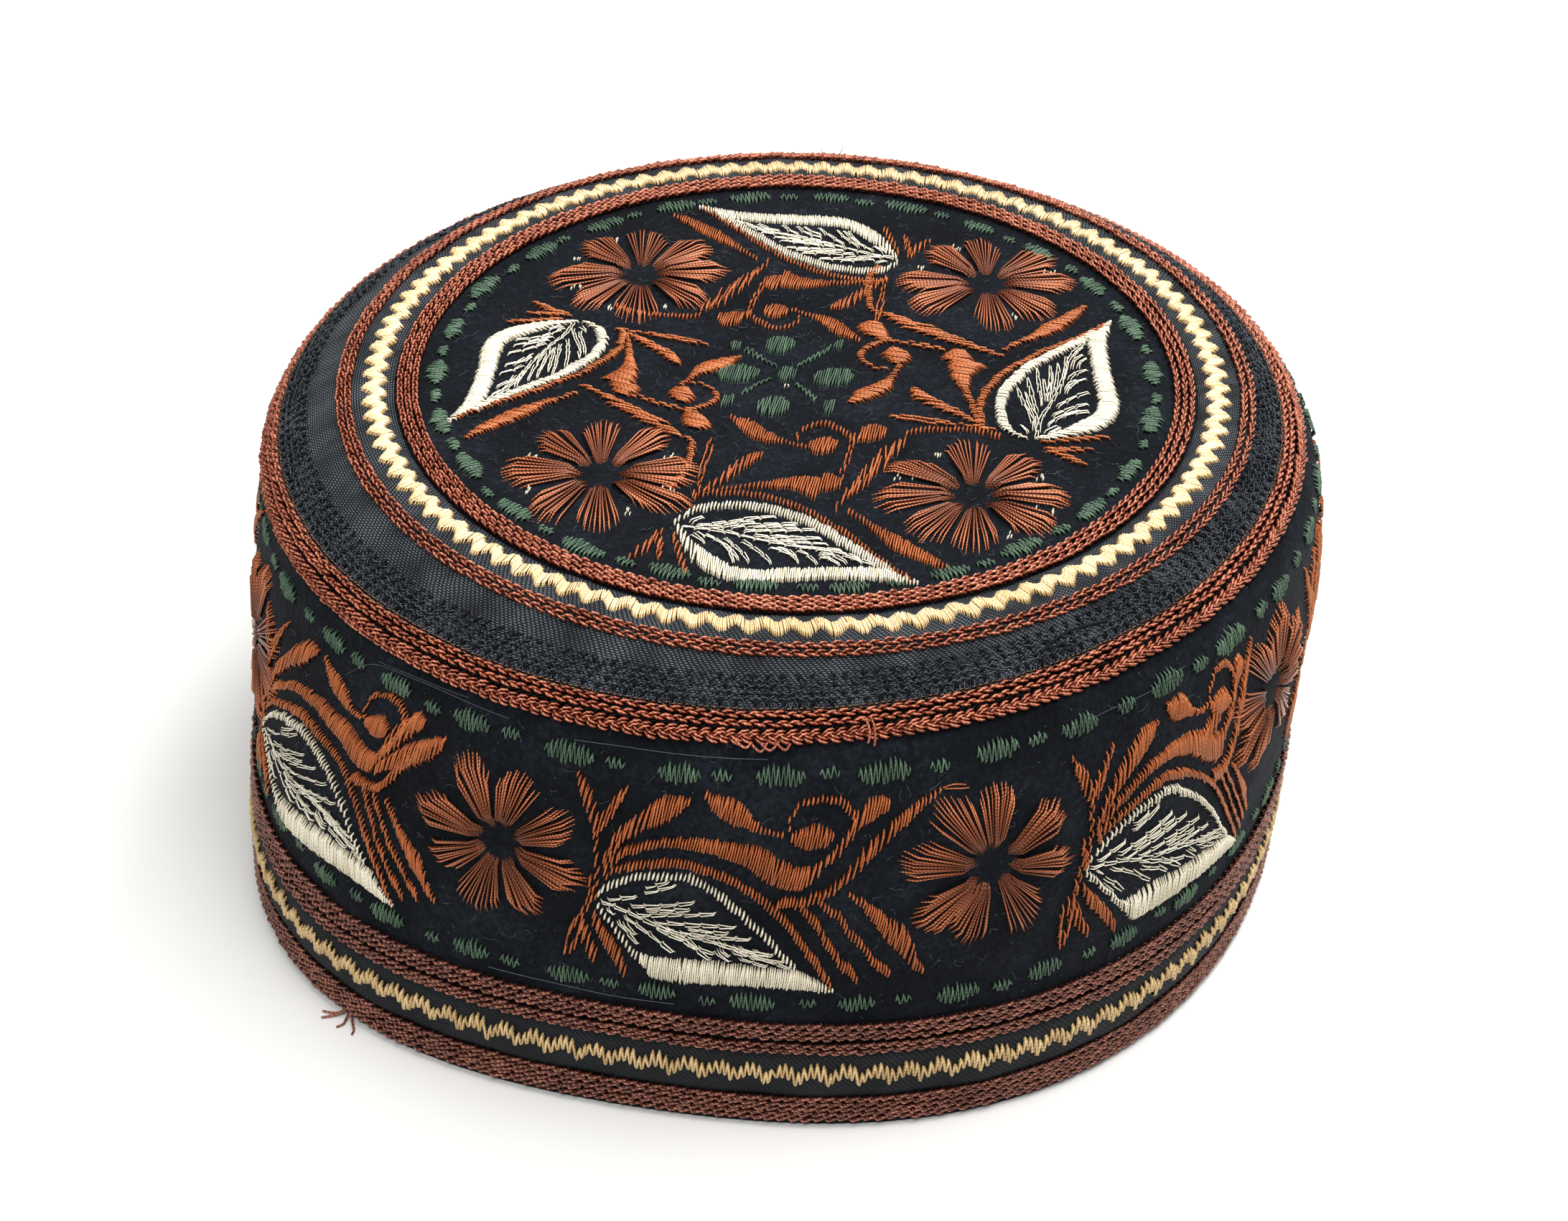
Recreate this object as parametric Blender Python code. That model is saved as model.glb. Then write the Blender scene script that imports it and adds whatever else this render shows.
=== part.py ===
# Round embroidered kufi: a stiff velvet-covered cap with an upright side band and a flat crown.
# It rests on its rim. +Z is up, the front is -Y, and the origin is the middle of the rim at floor level.
# Sizes are in millimetres, and points are turned to metres as each mesh is made.

import math
from collections import namedtuple

import bpy
import numpy as np

mm = 0.001

# Driving dimensions
rim_radius = 88.8  # the rim's outline before the head's bulges are added
crown_radius = 90.3  # the round outline that the section's shares refer to at crown height
crown_height = 82.7
crown_tilt = 0.024  # the crown rises this much for each millimetre towards +X
wall = 2.5  # velvet, stiffening and backing together
gap = 0.3  # clearance between neighbouring pieces
segments = 60

# The worn rim keeps the oval of a head. Each bulge shows on both sides of the cap, half a turn apart.
Bulge = namedtuple("Bulge", "angle swell sharpness")
bulges = [
    Bulge(angle=-139.5, swell=11.2, sharpness=7.3),
    Bulge(angle=-62.6, swell=4.6, sharpness=5.2),
]

# The outer section, from the rim up the wall, over the rounded shoulder and on to the flat crown.
# A share of 1 is the outline at that height.
Station = namedtuple("Station", "share height")
section = [
    Station(1.000, 0.0),
    Station(1.001, 15.0),
    Station(1.003, 30.0),
    Station(1.004, 45.0),
    Station(1.004, 55.0),
    Station(0.992, 65.0),
    Station(0.973, 73.1),
    Station(0.935, 76.6),
    Station(0.845, 81.4),
    Station(0.810, 82.4),
    Station(0.770, 82.7),
    Station(0.000, 82.7),
]
steps_per_station = 12
shoulder_share = 0.770  # the crown is flat inside this share
crown_centre_share = 0.300  # innermost loop of points on the flat crown

# The seam between side band and crown, as a run along the section from the rim.
# It isn't level: it is sewn higher up towards +X and lower down towards -X.
seam_run = 76.4
seam_gap = 0.5  # wider than the other gaps, because the sewn edges close in towards the inside
seam_sway = 3.0
seam_sway_angle = -9.5  # where the seam is sewn furthest in

# Trims on the wall, as heights
hem_braid_heights = (1.3, 6.7)
hem_ribbon_heights = (7.0, 15.9)
hem_zigzag_heights = (9.8, 13.4)
band_braid_low_heights = (16.2, 18.7)
band_braid_high_heights = (19.2, 22.7)

# Trims on the crown, as shares
middle_braid_shares = (0.843, 0.814)
crown_zigzag_shares = (0.791, 0.757)
ribbon_inner_share = 0.744
inner_braid_shares = (0.739, 0.697)

# Trims beside the seam, as widths
edge_braid_width = 1.9
edge_braid_space = 0.8
stitch_band_width = 7.5
settled_sway = 0.4  # the stitched band's inner edge follows the seam only this much

# Thickness of each kind of trim, and how far its underside lies over the velvet
braid_thickness = 1.2
ribbon_thickness = 0.4
zigzag_thickness = 0.5
over_velvet = gap
over_ribbon = over_velvet + ribbon_thickness + gap

# Number of steps in which each face follows its section
side_outer_spans = 10
side_inner_spans = 5
crown_outer_spans = 7
crown_inner_spans = 4

Material = namedtuple("Material", "name colour roughness sheen")
velvet = Material("black_velvet", (0.010, 0.011, 0.014), 0.95, 0.5)
satin = Material("black_satin", (0.022, 0.024, 0.029), 0.45, 0.1)
rust_thread = Material("rust_thread", (0.190, 0.052, 0.026), 0.55, 0.2)
gold_thread = Material("gold_thread", (0.640, 0.420, 0.190), 0.45, 0.1)

# A trim runs from one run to another. Each edge follows the seam's sway by its own share.
Trim = namedtuple("Trim", "name start end lift thickness start_sway end_sway spans material")


def bulged(angle):
    # Radius of the rim at angles in radians: the round rim plus a cosine swell for each bulge.
    radius = np.full_like(angle, rim_radius)
    for bulge in bulges:
        radius += bulge.swell * np.abs(np.cos(angle - math.radians(bulge.angle))) ** bulge.sharpness
    return radius


def outline(angle, height):
    # The rim's outline blends smoothly into the round crown as the height goes up.
    rise = np.clip(height / crown_height, 0, 1)
    blend = rise * rise * (3 - 2 * rise)
    return bulged(angle) * (1 - blend) + crown_radius * blend


def smooth_section():
    # A Catmull-Rom curve through the stations, with its run in millimetres and its outward normal.
    rows = np.array([(s.share * crown_radius, s.height) for s in section])
    ends = np.vstack([2 * rows[0] - rows[1], rows, 2 * rows[-1] - rows[-2]])
    lengths = np.hypot(*np.diff(ends, axis=0).T)
    points = []
    for i in range(1, len(ends) - 2):
        before, here, after = lengths[i - 1], lengths[i], lengths[i + 1]
        slope_in = (ends[i + 1] - ends[i - 1]) / (before + here) * here
        slope_out = (ends[i + 2] - ends[i]) / (here + after) * here
        t = np.linspace(0, 1, steps_per_station, endpoint=False)[:, None]
        points.append(
            (2 * t**3 - 3 * t**2 + 1) * ends[i]
            + (t**3 - 2 * t**2 + t) * slope_in
            + (3 * t**2 - 2 * t**3) * ends[i + 1]
            + (t**3 - t**2) * slope_out
        )
    points = np.vstack(points + [ends[-2:-1]])
    run = np.concatenate([[0], np.cumsum(np.hypot(*np.diff(points, axis=0).T))])
    along = np.gradient(points, run, axis=0)
    along /= np.linalg.norm(along, axis=1)[:, None]
    normal = np.stack([along[:, 1], -along[:, 0]], axis=1)
    return run, points[:, 0] / crown_radius, points[:, 1], normal


section_run, section_share, section_height, section_normal = smooth_section()
angles = np.linspace(0, 2 * math.pi, segments, endpoint=False)
sway = seam_sway * np.cos(angles - math.radians(seam_sway_angle))


def run_at_height(height):
    return float(np.interp(height, section_height, section_run))


def run_at_share(share):
    over = section_height > crown_height / 2
    return float(np.interp(-share, -section_share[over], section_run[over]))


def ring(run, lift):
    # One loop of points round the cap. The run may differ from angle to angle; lift is along the normal.
    run = run + np.zeros(segments)
    share = np.interp(run, section_run, section_share)
    height = np.interp(run, section_run, section_height)
    out = np.interp(run, section_run, section_normal[:, 0])
    up = np.interp(run, section_run, section_normal[:, 1])
    size = np.hypot(out, up)
    radius = share * outline(angles, height) + lift * out / size
    x = radius * np.cos(angles)
    y = radius * np.sin(angles)
    z = height + lift * up / size
    tilted = z + np.clip(z / crown_height, 0, 1) * crown_tilt * x
    return np.stack([x, y, tilted], axis=1)


def spaced(start, end, spans):
    # Runs from start to end in equal steps. Either may be one number or one for each angle.
    return [start + (end - start) * i / spans for i in range(spans + 1)]


def make_material(kind):
    material = bpy.data.materials.get(kind.name)
    if material is None:
        material = bpy.data.materials.new(kind.name)
        material.use_nodes = True
        shader = material.node_tree.nodes["Principled BSDF"]
        shader.inputs["Base Color"].default_value = (*kind.colour, 1)
        shader.inputs["Roughness"].default_value = kind.roughness
        shader.inputs["Sheen Weight"].default_value = kind.sheen
        shader.inputs["Metallic"].default_value = 0
    return material


def loft(name, rings, kind, poles=None):
    # Bridges each loop of points to the next. Without poles the last loop joins the first;
    # with them, each end closes in a fan round its pole.
    points = np.vstack(rings if poles is None else rings + [np.array(poles)]) * mm
    faces = []
    pairs = len(rings) if poles is None else len(rings) - 1
    for i in range(pairs):
        low = i * segments
        high = (i + 1) % len(rings) * segments
        for j in range(segments):
            k = (j + 1) % segments
            faces.append((low + j, low + k, high + k, high + j))
    if poles is not None:
        first_pole = len(rings) * segments
        last = (len(rings) - 1) * segments
        for j in range(segments):
            k = (j + 1) % segments
            faces.append((first_pole, k, j))
            faces.append((first_pole + 1, last + j, last + k))
    mesh = bpy.data.meshes.new(name)
    mesh.from_pydata(points.tolist(), [], faces)
    mesh.shade_smooth()
    mesh.set_sharp_from_angle(angle=math.radians(35))
    mesh.materials.append(make_material(kind))
    piece = bpy.data.objects.new(name, mesh)
    bpy.context.scene.collection.objects.link(piece)
    return piece


def side_band():
    # Upright wall: outer face from the rim to the seam, sewn edge, inner face back to the flat rim.
    seam = seam_run + sway
    outer = [ring(run, 0) for run in spaced(0, seam, side_outer_spans)]
    inner = [ring(run, -wall) for run in spaced(seam, 0, side_inner_spans)]
    inner[-1][:, 2] = 0
    return loft("side_band", outer + inner, velvet)


def crown():
    # Flat top with its shoulder: one shell of even thickness from the seam to the middle.
    seam = seam_run + seam_gap + sway
    shoulder = run_at_share(shoulder_share)
    centre = run_at_share(crown_centre_share)
    outer = [ring(run, 0) for run in spaced(seam, shoulder, crown_outer_spans) + [centre]]
    inner = [ring(run, -wall) for run in [centre] + spaced(shoulder, seam, crown_inner_spans)]
    poles = [(0, 0, crown_height - wall), (0, 0, crown_height)]
    return loft("crown", inner + outer, velvet, poles)


def trim_band(trim):
    # A band on the wall or crown: its proud face, two edges and its underside.
    start = trim.start + trim.start_sway * sway
    end = trim.end + trim.end_sway * sway
    top = trim.lift + trim.thickness
    face = [ring(run, top) for run in spaced(start, end, trim.spans)]
    underside = [ring(run, trim.lift) for run in spaced(end, start, trim.spans)]
    return loft(trim.name, face + underside, trim.material)


def wall_trim(name, heights, lift, thickness, kind):
    start, end = (run_at_height(height) for height in heights)
    return Trim(name, start, end, lift, thickness, 0, 0, 1, kind)


def crown_trim(name, shares, lift, thickness, spans, kind):
    start, end = (run_at_share(share) for share in shares)
    return Trim(name, start, end, lift, thickness, 0, 0, spans, kind)


def edge_braid(name, start):
    end = start + edge_braid_width
    return Trim(name, start, end, over_velvet, braid_thickness, 1, 1, 1, rust_thread)


def black_bands():
    # The stitched band beside the upper edge braid, and the ribbon from there to the inner braid.
    start = seam_run + edge_braid_space + edge_braid_width + gap
    end = start + stitch_band_width
    ribbon_end = run_at_share(ribbon_inner_share)
    return [
        Trim("edge_stitch_band", start, end, over_velvet, ribbon_thickness, 1, settled_sway, 4, satin),
        Trim("crown_ribbon", end + gap, ribbon_end, over_velvet, ribbon_thickness, settled_sway, 0, 5, satin),
    ]


def all_trims():
    return [
        wall_trim("hem_braid", hem_braid_heights, over_velvet, braid_thickness, rust_thread),
        wall_trim("hem_ribbon", hem_ribbon_heights, over_velvet, ribbon_thickness, satin),
        wall_trim("hem_zigzag", hem_zigzag_heights, over_ribbon, zigzag_thickness, gold_thread),
        wall_trim("band_braid_low", band_braid_low_heights, over_velvet, braid_thickness, rust_thread),
        wall_trim("band_braid_high", band_braid_high_heights, over_velvet, braid_thickness, rust_thread),
        edge_braid("edge_braid_low", seam_run - edge_braid_width),
        edge_braid("edge_braid_high", seam_run + edge_braid_space),
        *black_bands(),
        crown_trim("middle_braid", middle_braid_shares, over_ribbon, braid_thickness, 2, rust_thread),
        crown_trim("crown_zigzag", crown_zigzag_shares, over_ribbon, zigzag_thickness, 1, gold_thread),
        crown_trim("inner_braid", inner_braid_shares, over_velvet, braid_thickness, 1, rust_thread),
    ]


def main():
    for old in list(bpy.data.objects):
        bpy.data.objects.remove(old)
    side_band()
    crown()
    for trim in all_trims():
        trim_band(trim)


main()
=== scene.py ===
import math

import bpy
import numpy as np
from mathutils import Matrix, Vector


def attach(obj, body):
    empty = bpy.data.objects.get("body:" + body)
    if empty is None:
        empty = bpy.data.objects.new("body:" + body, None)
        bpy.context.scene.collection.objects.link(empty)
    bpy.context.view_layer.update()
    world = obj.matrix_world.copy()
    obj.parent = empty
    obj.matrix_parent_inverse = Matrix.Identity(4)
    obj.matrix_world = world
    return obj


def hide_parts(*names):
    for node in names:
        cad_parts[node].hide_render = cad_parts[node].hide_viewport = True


# A round embroidered kufi on a pale floor: stiff velvet cap, chain-stitched braids, satin ribbons,
# gold zigzags and rayon thread embroidery. Sizes are in millimetres until a mesh is made.
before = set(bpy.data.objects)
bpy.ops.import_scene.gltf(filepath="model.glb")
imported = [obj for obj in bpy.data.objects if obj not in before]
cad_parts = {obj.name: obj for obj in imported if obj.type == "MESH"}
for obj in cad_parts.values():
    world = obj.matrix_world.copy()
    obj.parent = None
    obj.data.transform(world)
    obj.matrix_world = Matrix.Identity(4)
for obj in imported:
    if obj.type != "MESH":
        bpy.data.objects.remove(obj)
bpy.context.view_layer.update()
mm = 0.001

# The cap's own shape: the same round section, oval rim and tilted crown as its solids.
cap = {
    "rimRadius": 88.8,
    "crownRadius": 90.3,
    "crownHeight": 82.7,
    "crownTilt": 0.024,
    "wall": 2.5,
    "bulges": ((-139.5, 11.2, 7.3), (-62.6, 4.6, 5.2)),  # angle, swell, sharpness
    "section": (
        (1.000, 0.0), (1.001, 15.0), (1.003, 30.0), (1.004, 45.0), (1.004, 55.0), (0.992, 65.0),
        (0.973, 73.1), (0.935, 76.6), (0.845, 81.4), (0.810, 82.4), (0.770, 82.7), (0.000, 82.7),
    ),
    "stepsPerStation": 24,
    "columns": 288,  # steps round the cap in its shells and ribbons
    "rowSteps": 1441,  # places where a row round the cap is measured
    "seamRun": 76.4,
    "seamSway": 3.0,
    "seamSwayAngle": -9.5,
}


def capOutline(angle, height):
    # rim radius plus a cosine swell for each bulge, blended into the round crown on the way up
    radius = np.full(np.shape(angle), cap["rimRadius"])
    for at, swell, sharpness in cap["bulges"]:
        radius = radius + swell * np.abs(np.cos(angle - math.radians(at))) ** sharpness
    rise = np.clip(height / cap["crownHeight"], 0, 1)
    blend = rise * rise * (3 - 2 * rise)
    return radius * (1 - blend) + cap["crownRadius"] * blend


def capSection():
    # Catmull-Rom curve through the stations, with its run and its outward normal
    rows = np.array(cap["section"]) * (cap["crownRadius"], 1)
    ends = np.vstack([2 * rows[0] - rows[1], rows, 2 * rows[-1] - rows[-2]])
    length = np.hypot(*np.diff(ends, axis=0).T)
    t = np.linspace(0, 1, cap["stepsPerStation"], endpoint=False)[:, None]
    points = []
    for i in range(1, len(ends) - 2):
        slopeIn = (ends[i + 1] - ends[i - 1]) / (length[i - 1] + length[i]) * length[i]
        slopeOut = (ends[i + 2] - ends[i]) / (length[i] + length[i + 1]) * length[i]
        points.append((2 * t**3 - 3 * t**2 + 1) * ends[i] + (t**3 - 2 * t**2 + t) * slopeIn
                      + (3 * t**2 - 2 * t**3) * ends[i + 1] + (t**3 - t**2) * slopeOut)
    points = np.vstack(points + [ends[-2:-1]])
    run = np.concatenate([[0], np.cumsum(np.hypot(*np.diff(points, axis=0).T))])
    along = np.gradient(points, run, axis=0)
    along /= np.linalg.norm(along, axis=1)[:, None]
    return run, points[:, 0] / cap["crownRadius"], points[:, 1], along[:, 1], -along[:, 0]


sectionRun, sectionShare, sectionHeight, sectionOut, sectionUp = capSection()


def runAtHeight(height):
    # the run up the section where the cap has this height
    return np.interp(height, sectionHeight, sectionRun)


def runAtShare(share):
    # the run over the crown where its radius is this share of the whole
    over = sectionHeight > cap["crownHeight"] / 2
    return np.interp(-np.asarray(share), -sectionShare[over], sectionRun[over])


def seamSway(angle):
    # how far the seam goes up and down round the cap: one cosine wave
    return cap["seamSway"] * np.cos(angle - math.radians(cap["seamSwayAngle"]))


def onCap(angle, run, lift):
    # a place on the cap: angle round it, run up the section from the rim, lift along the normal
    share = np.interp(run, sectionRun, sectionShare)
    height = np.interp(run, sectionRun, sectionHeight)
    out = np.interp(run, sectionRun, sectionOut)
    up = np.interp(run, sectionRun, sectionUp)
    radius = share * capOutline(angle, height) + lift * out
    x = radius * np.cos(angle)
    y = radius * np.sin(angle)
    z = height + lift * up
    z = z + np.clip(z / cap["crownHeight"], 0, 1) * cap["crownTilt"] * x
    return np.stack(np.broadcast_arrays(x, y, z), axis=-1)


def onCrown(x, y, lift):
    # a place on the flat crown
    z = cap["crownHeight"] + cap["crownTilt"] * x + lift
    return np.stack(np.broadcast_arrays(x, y, z), axis=-1)


def linearColour(code):
    # an sRGB hex value turned to linear light
    value = np.array([int(code[i:i + 2], 16) for i in (1, 3, 5)]) / 255
    value = np.where(value <= 0.04045, value / 12.92, ((value + 0.055) / 1.055) ** 2.4)
    return (*value.tolist(), 1.0)


def feed(tree, node, links):
    # fills a node's sockets, each from a socket, from another node's first output or with a plain value
    for key, source in links.items():
        if isinstance(source, (int, float, tuple)):
            node.inputs[key].default_value = source
        else:
            output = source if isinstance(source, bpy.types.NodeSocket) else source.outputs[0]
            tree.links.new(output, node.inputs[key])


def addNode(tree, kind, links=None, **settings):
    # adds one shader node: links feed its sockets, settings set its sockets or its own properties
    node = tree.nodes.new("ShaderNode" + kind)
    for key, value in settings.items():
        if hasattr(node, key):
            setattr(node, key, value)
        else:
            node.inputs[key.replace("_", " ")].default_value = value
    feed(tree, node, links or {})
    return node


def newMaterial(name, **settings):
    # a material with its node tree and its shader, whose sockets the settings set
    material = bpy.data.materials.new(name)
    material.use_nodes = True
    tree = material.node_tree
    shader = tree.nodes["Principled BSDF"]
    for key, value in settings.items():
        shader.inputs[key.replace("_", " ")].default_value = value
    return material, tree, shader


def ramp(tree, factor, stops):
    # a colour ramp: stops are (place, sRGB hex)
    node = addNode(tree, "ValToRGB", {"Fac": factor})
    marks = node.color_ramp.elements
    while len(marks) < len(stops):
        marks.new(0.5)
    for mark, (place, code) in zip(marks, stops):
        mark.position = place
        mark.color = linearColour(code)
    return node


def putMesh(name, points, blocks, material, uvs, shades=None):
    # points in millimetres; blocks are arrays of faces with the same number of corners in each
    mesh = bpy.data.meshes.new(name)
    sizes = np.concatenate([np.full(len(b), b.shape[1]) for b in blocks])
    corners = np.concatenate([b.ravel() for b in blocks]).astype(np.int32)
    mesh.vertices.add(len(points))
    mesh.vertices.foreach_set("co", (points * mm).astype(np.float32).ravel())
    mesh.loops.add(len(corners))
    mesh.loops.foreach_set("vertex_index", corners)
    mesh.polygons.add(len(sizes))
    starts = np.concatenate([[0], np.cumsum(sizes)[:-1]]).astype(np.int32)
    mesh.polygons.foreach_set("loop_start", starts)
    mesh.polygons.foreach_set("loop_total", sizes.astype(np.int32))
    mesh.update(calc_edges=True)
    layer = mesh.uv_layers.new(name="threadMap")
    uvs = np.concatenate([u.reshape(-1, 2) for u in uvs])
    layer.uv.foreach_set("vector", uvs.astype(np.float32).ravel())
    for key, values in (shades or {}).items():
        mesh.attributes.new(key, "FLOAT", "POINT").data.foreach_set("value", values.astype(np.float32))
    mesh.shade_smooth()
    mesh.materials.append(material)
    piece = bpy.data.objects.new(name, mesh)
    bpy.context.scene.collection.objects.link(piece)
    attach(piece, "root")
    return piece


def tubes(points, up, width, height, sides, shine):
    # a flattened tube along each path: points and up are (paths, steps, 3); half sizes and shine broadcast to
    # (paths, steps). Shine is painted light along the thread: 0 paints shade where it dives into the cloth, 1
    # a highlight where it stands proud
    paths, steps = points.shape[:2]
    along = np.gradient(points, axis=1)
    along /= np.linalg.norm(along, axis=2, keepdims=True) + 1e-9
    side = np.cross(along, up)
    side /= np.linalg.norm(side, axis=2, keepdims=True) + 1e-9
    top = np.cross(side, along)
    # one corner of the section is its crest
    turn = (np.arange(sides) / sides + 0.25) * 2 * math.pi
    width = np.broadcast_to(width, (paths, steps))[:, :, None, None]
    height = np.broadcast_to(height, (paths, steps))[:, :, None, None]
    ring = (points[:, :, None] + side[:, :, None] * width * np.cos(turn)[:, None]
            + top[:, :, None] * height * np.sin(turn)[:, None])
    # painted light: the crest of each section is painted lighter and its underside darker, scaled by shine
    paintedLight = np.broadcast_to(shine, (paths, steps))[:, :, None] * (0.5 + 0.5 * np.sin(turn))
    first = np.arange(paths)[:, None, None] * steps * sides
    i = np.arange(steps - 1)[None, :, None] * sides
    j = np.arange(sides)[None, None, :]
    k = (j + 1) % sides
    here = first + i
    quads = np.stack([here + j, here + sides + j, here + sides + k, here + k], axis=-1).reshape(-1, 4)
    start = first[:, 0] + np.arange(sides)[None, :]
    end = first[:, 0] + (steps - 1) * sides + np.arange(sides)[None, ::-1]
    lengths = np.linalg.norm(np.diff(points, axis=1), axis=2)
    run = np.concatenate([np.zeros((paths, 1)), np.cumsum(lengths, axis=1)], axis=1)
    low = np.broadcast_to(run[:, :-1, None], (paths, steps - 1, sides))
    high = np.broadcast_to(run[:, 1:, None], (paths, steps - 1, sides))
    left = np.broadcast_to(j / sides, low.shape)
    right = np.broadcast_to((j + 1) / sides, low.shape)
    quadMap = np.stack([low, left, high, left, high, right, low, right], axis=-1).reshape(-1, 4, 2)
    capMap = np.zeros((2 * paths, sides, 2))
    return ring.reshape(-1, 3), [quads, np.concatenate([start, end])], [quadMap, capMap], paintedLight.ravel()


def threadPiece(name, bundles, material, seed):
    # joins bundles of tubes, all with the same number of sides, into one piece; each thread has its own tint
    rng = np.random.default_rng(seed)
    rows = []
    offset = 0
    for bundle in bundles:
        ring, (quad, end), (quadMap, endMap), paintedLight = tubes(*bundle)
        paths = bundle[0].shape[0]
        tint = np.repeat(rng.random(paths), len(ring) // paths)
        rows.append((ring, quad + offset, end + offset, quadMap, endMap, tint, paintedLight))
        offset += len(ring)
    points, quads, ends, quadMaps, endMaps, tints, paintedLights = (np.concatenate(column) for column in zip(*rows))
    # tint is each thread's own tone; the other attribute carries the painted light
    shades = {"tint": tints, "paintedLight": paintedLights}
    piece = putMesh(name, points, [quads, ends], material, [quadMaps, endMaps], shades)
    triangles = 2 * len(quads) + len(ends) * (ends.shape[1] - 2)
    print("piece", name, sum(b[0].shape[0] for b in bundles), "threads", triangles, "triangles")
    return piece


def layStitches(place, starts, ends, look, rng):
    # a stitch is a straight thread that leaves the cloth, lies proud of it and goes back in
    share = np.array((0.0, 0.2, 0.8, 1.0))
    rise = np.array((-0.5, 1.0, 1.0, -0.5))
    at = starts[:, None] + (ends - starts)[:, None] * share[None, :, None]
    vary = look.get("vary", 0.2)
    lift = rise[None, :] * look["lift"] * rng.uniform(1 - vary, 1 + vary, (len(starts), 1))
    points = place(at[..., 0], at[..., 1], lift)
    up = place(at[..., 0], at[..., 1], lift + 1.0) - points
    thin = np.array((0.75, 1.0, 1.0, 0.75))
    width = look["width"] * thin[None, :] * rng.uniform(0.88, 1.12, (len(starts), 1))
    # painted light along the stitch: painted shade where it dives in at each end, painted highlight along its
    # middle
    shine = np.array(look.get("shine", (0.25, 0.85, 1.0, 0.5)))
    return points, up, width * 1.1, width * look.get("flat", 0.9), 3, shine


# Fabric and thread materials

pileLook = {
    "tuft": 0.9,  # real tufts are about 0.25 mm, and these are coarser so that they show
    "mark": 14.0,
    "depth": 0.35,
    "lintCell": 1.5,
    "speck": 0.075,
    "bare": 0.72,  # share of the cells without lint
    "colours": ((0.36, "#08090b"), (0.52, "#101318"), (0.68, "#20242a")),
    "lintColour": "#4c5157",
    "sheenColour": "#8f9199",
}


def velvetMaterial(look):
    # Cotton velvet: cut pile that swallows light, with a thin bluish sheen at glancing angles, pile marks and
    # grey lint, which is a speck round the middle of some cells
    material, tree, shader = newMaterial(
        "blackCottonVelvet", Roughness=0.95, Specular_IOR_Level=0.08, Sheen_Weight=0.1,
        Sheen_Roughness=0.4, Sheen_Tint=linearColour(look["sheenColour"]))
    place = {"Vector": addNode(tree, "TexCoord").outputs["Object"]}
    pile = addNode(tree, "TexNoise", place, Scale=1 / (look["tuft"] * mm), Detail=3.0, Roughness=0.65)
    marks = addNode(tree, "TexNoise", place, Scale=1 / (look["mark"] * mm), Detail=4.0, Roughness=0.6)
    both = addNode(tree, "Math", {0: pile, 1: marks}, operation="ADD")
    half = addNode(tree, "Math", {0: both, 1: 0.5}, operation="MULTIPLY")
    cells = addNode(tree, "TexVoronoi", place, Scale=1 / (look["lintCell"] * mm), Randomness=1.0)
    speck = addNode(tree, "Math", {0: cells, 1: look["speck"]}, operation="LESS_THAN")
    chance = addNode(tree, "SeparateColor", {"Color": cells.outputs["Color"]})
    patch = addNode(tree, "Math", {0: chance, 1: look["bare"]}, operation="GREATER_THAN")
    lint = addNode(tree, "Math", {0: speck, 1: patch}, operation="MULTIPLY")
    # sockets 6 and 7 hold the two colours, and output 2 their mix
    ground = ramp(tree, half, look["colours"])
    colour = addNode(tree, "Mix", {0: lint, 6: ground, 7: linearColour(look["lintColour"])},
                     data_type="RGBA")
    bump = addNode(tree, "Bump", {"Height": pile}, Strength=0.9, Distance=look["depth"] * mm)
    feed(tree, shader, {"Base Color": colour.outputs[2], "Normal": bump})
    return material


satinLook = {
    "row": 0.36,  # millimetres from row to row; both are coarser than real so that the twill shows
    "dash": 0.95,
    "step": 0.34,  # how far on in its dash each row starts
    "wander": 0.35,  # waves for each millimetre
    "cloud": 0.12,
    "depth": 0.2,
}


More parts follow.
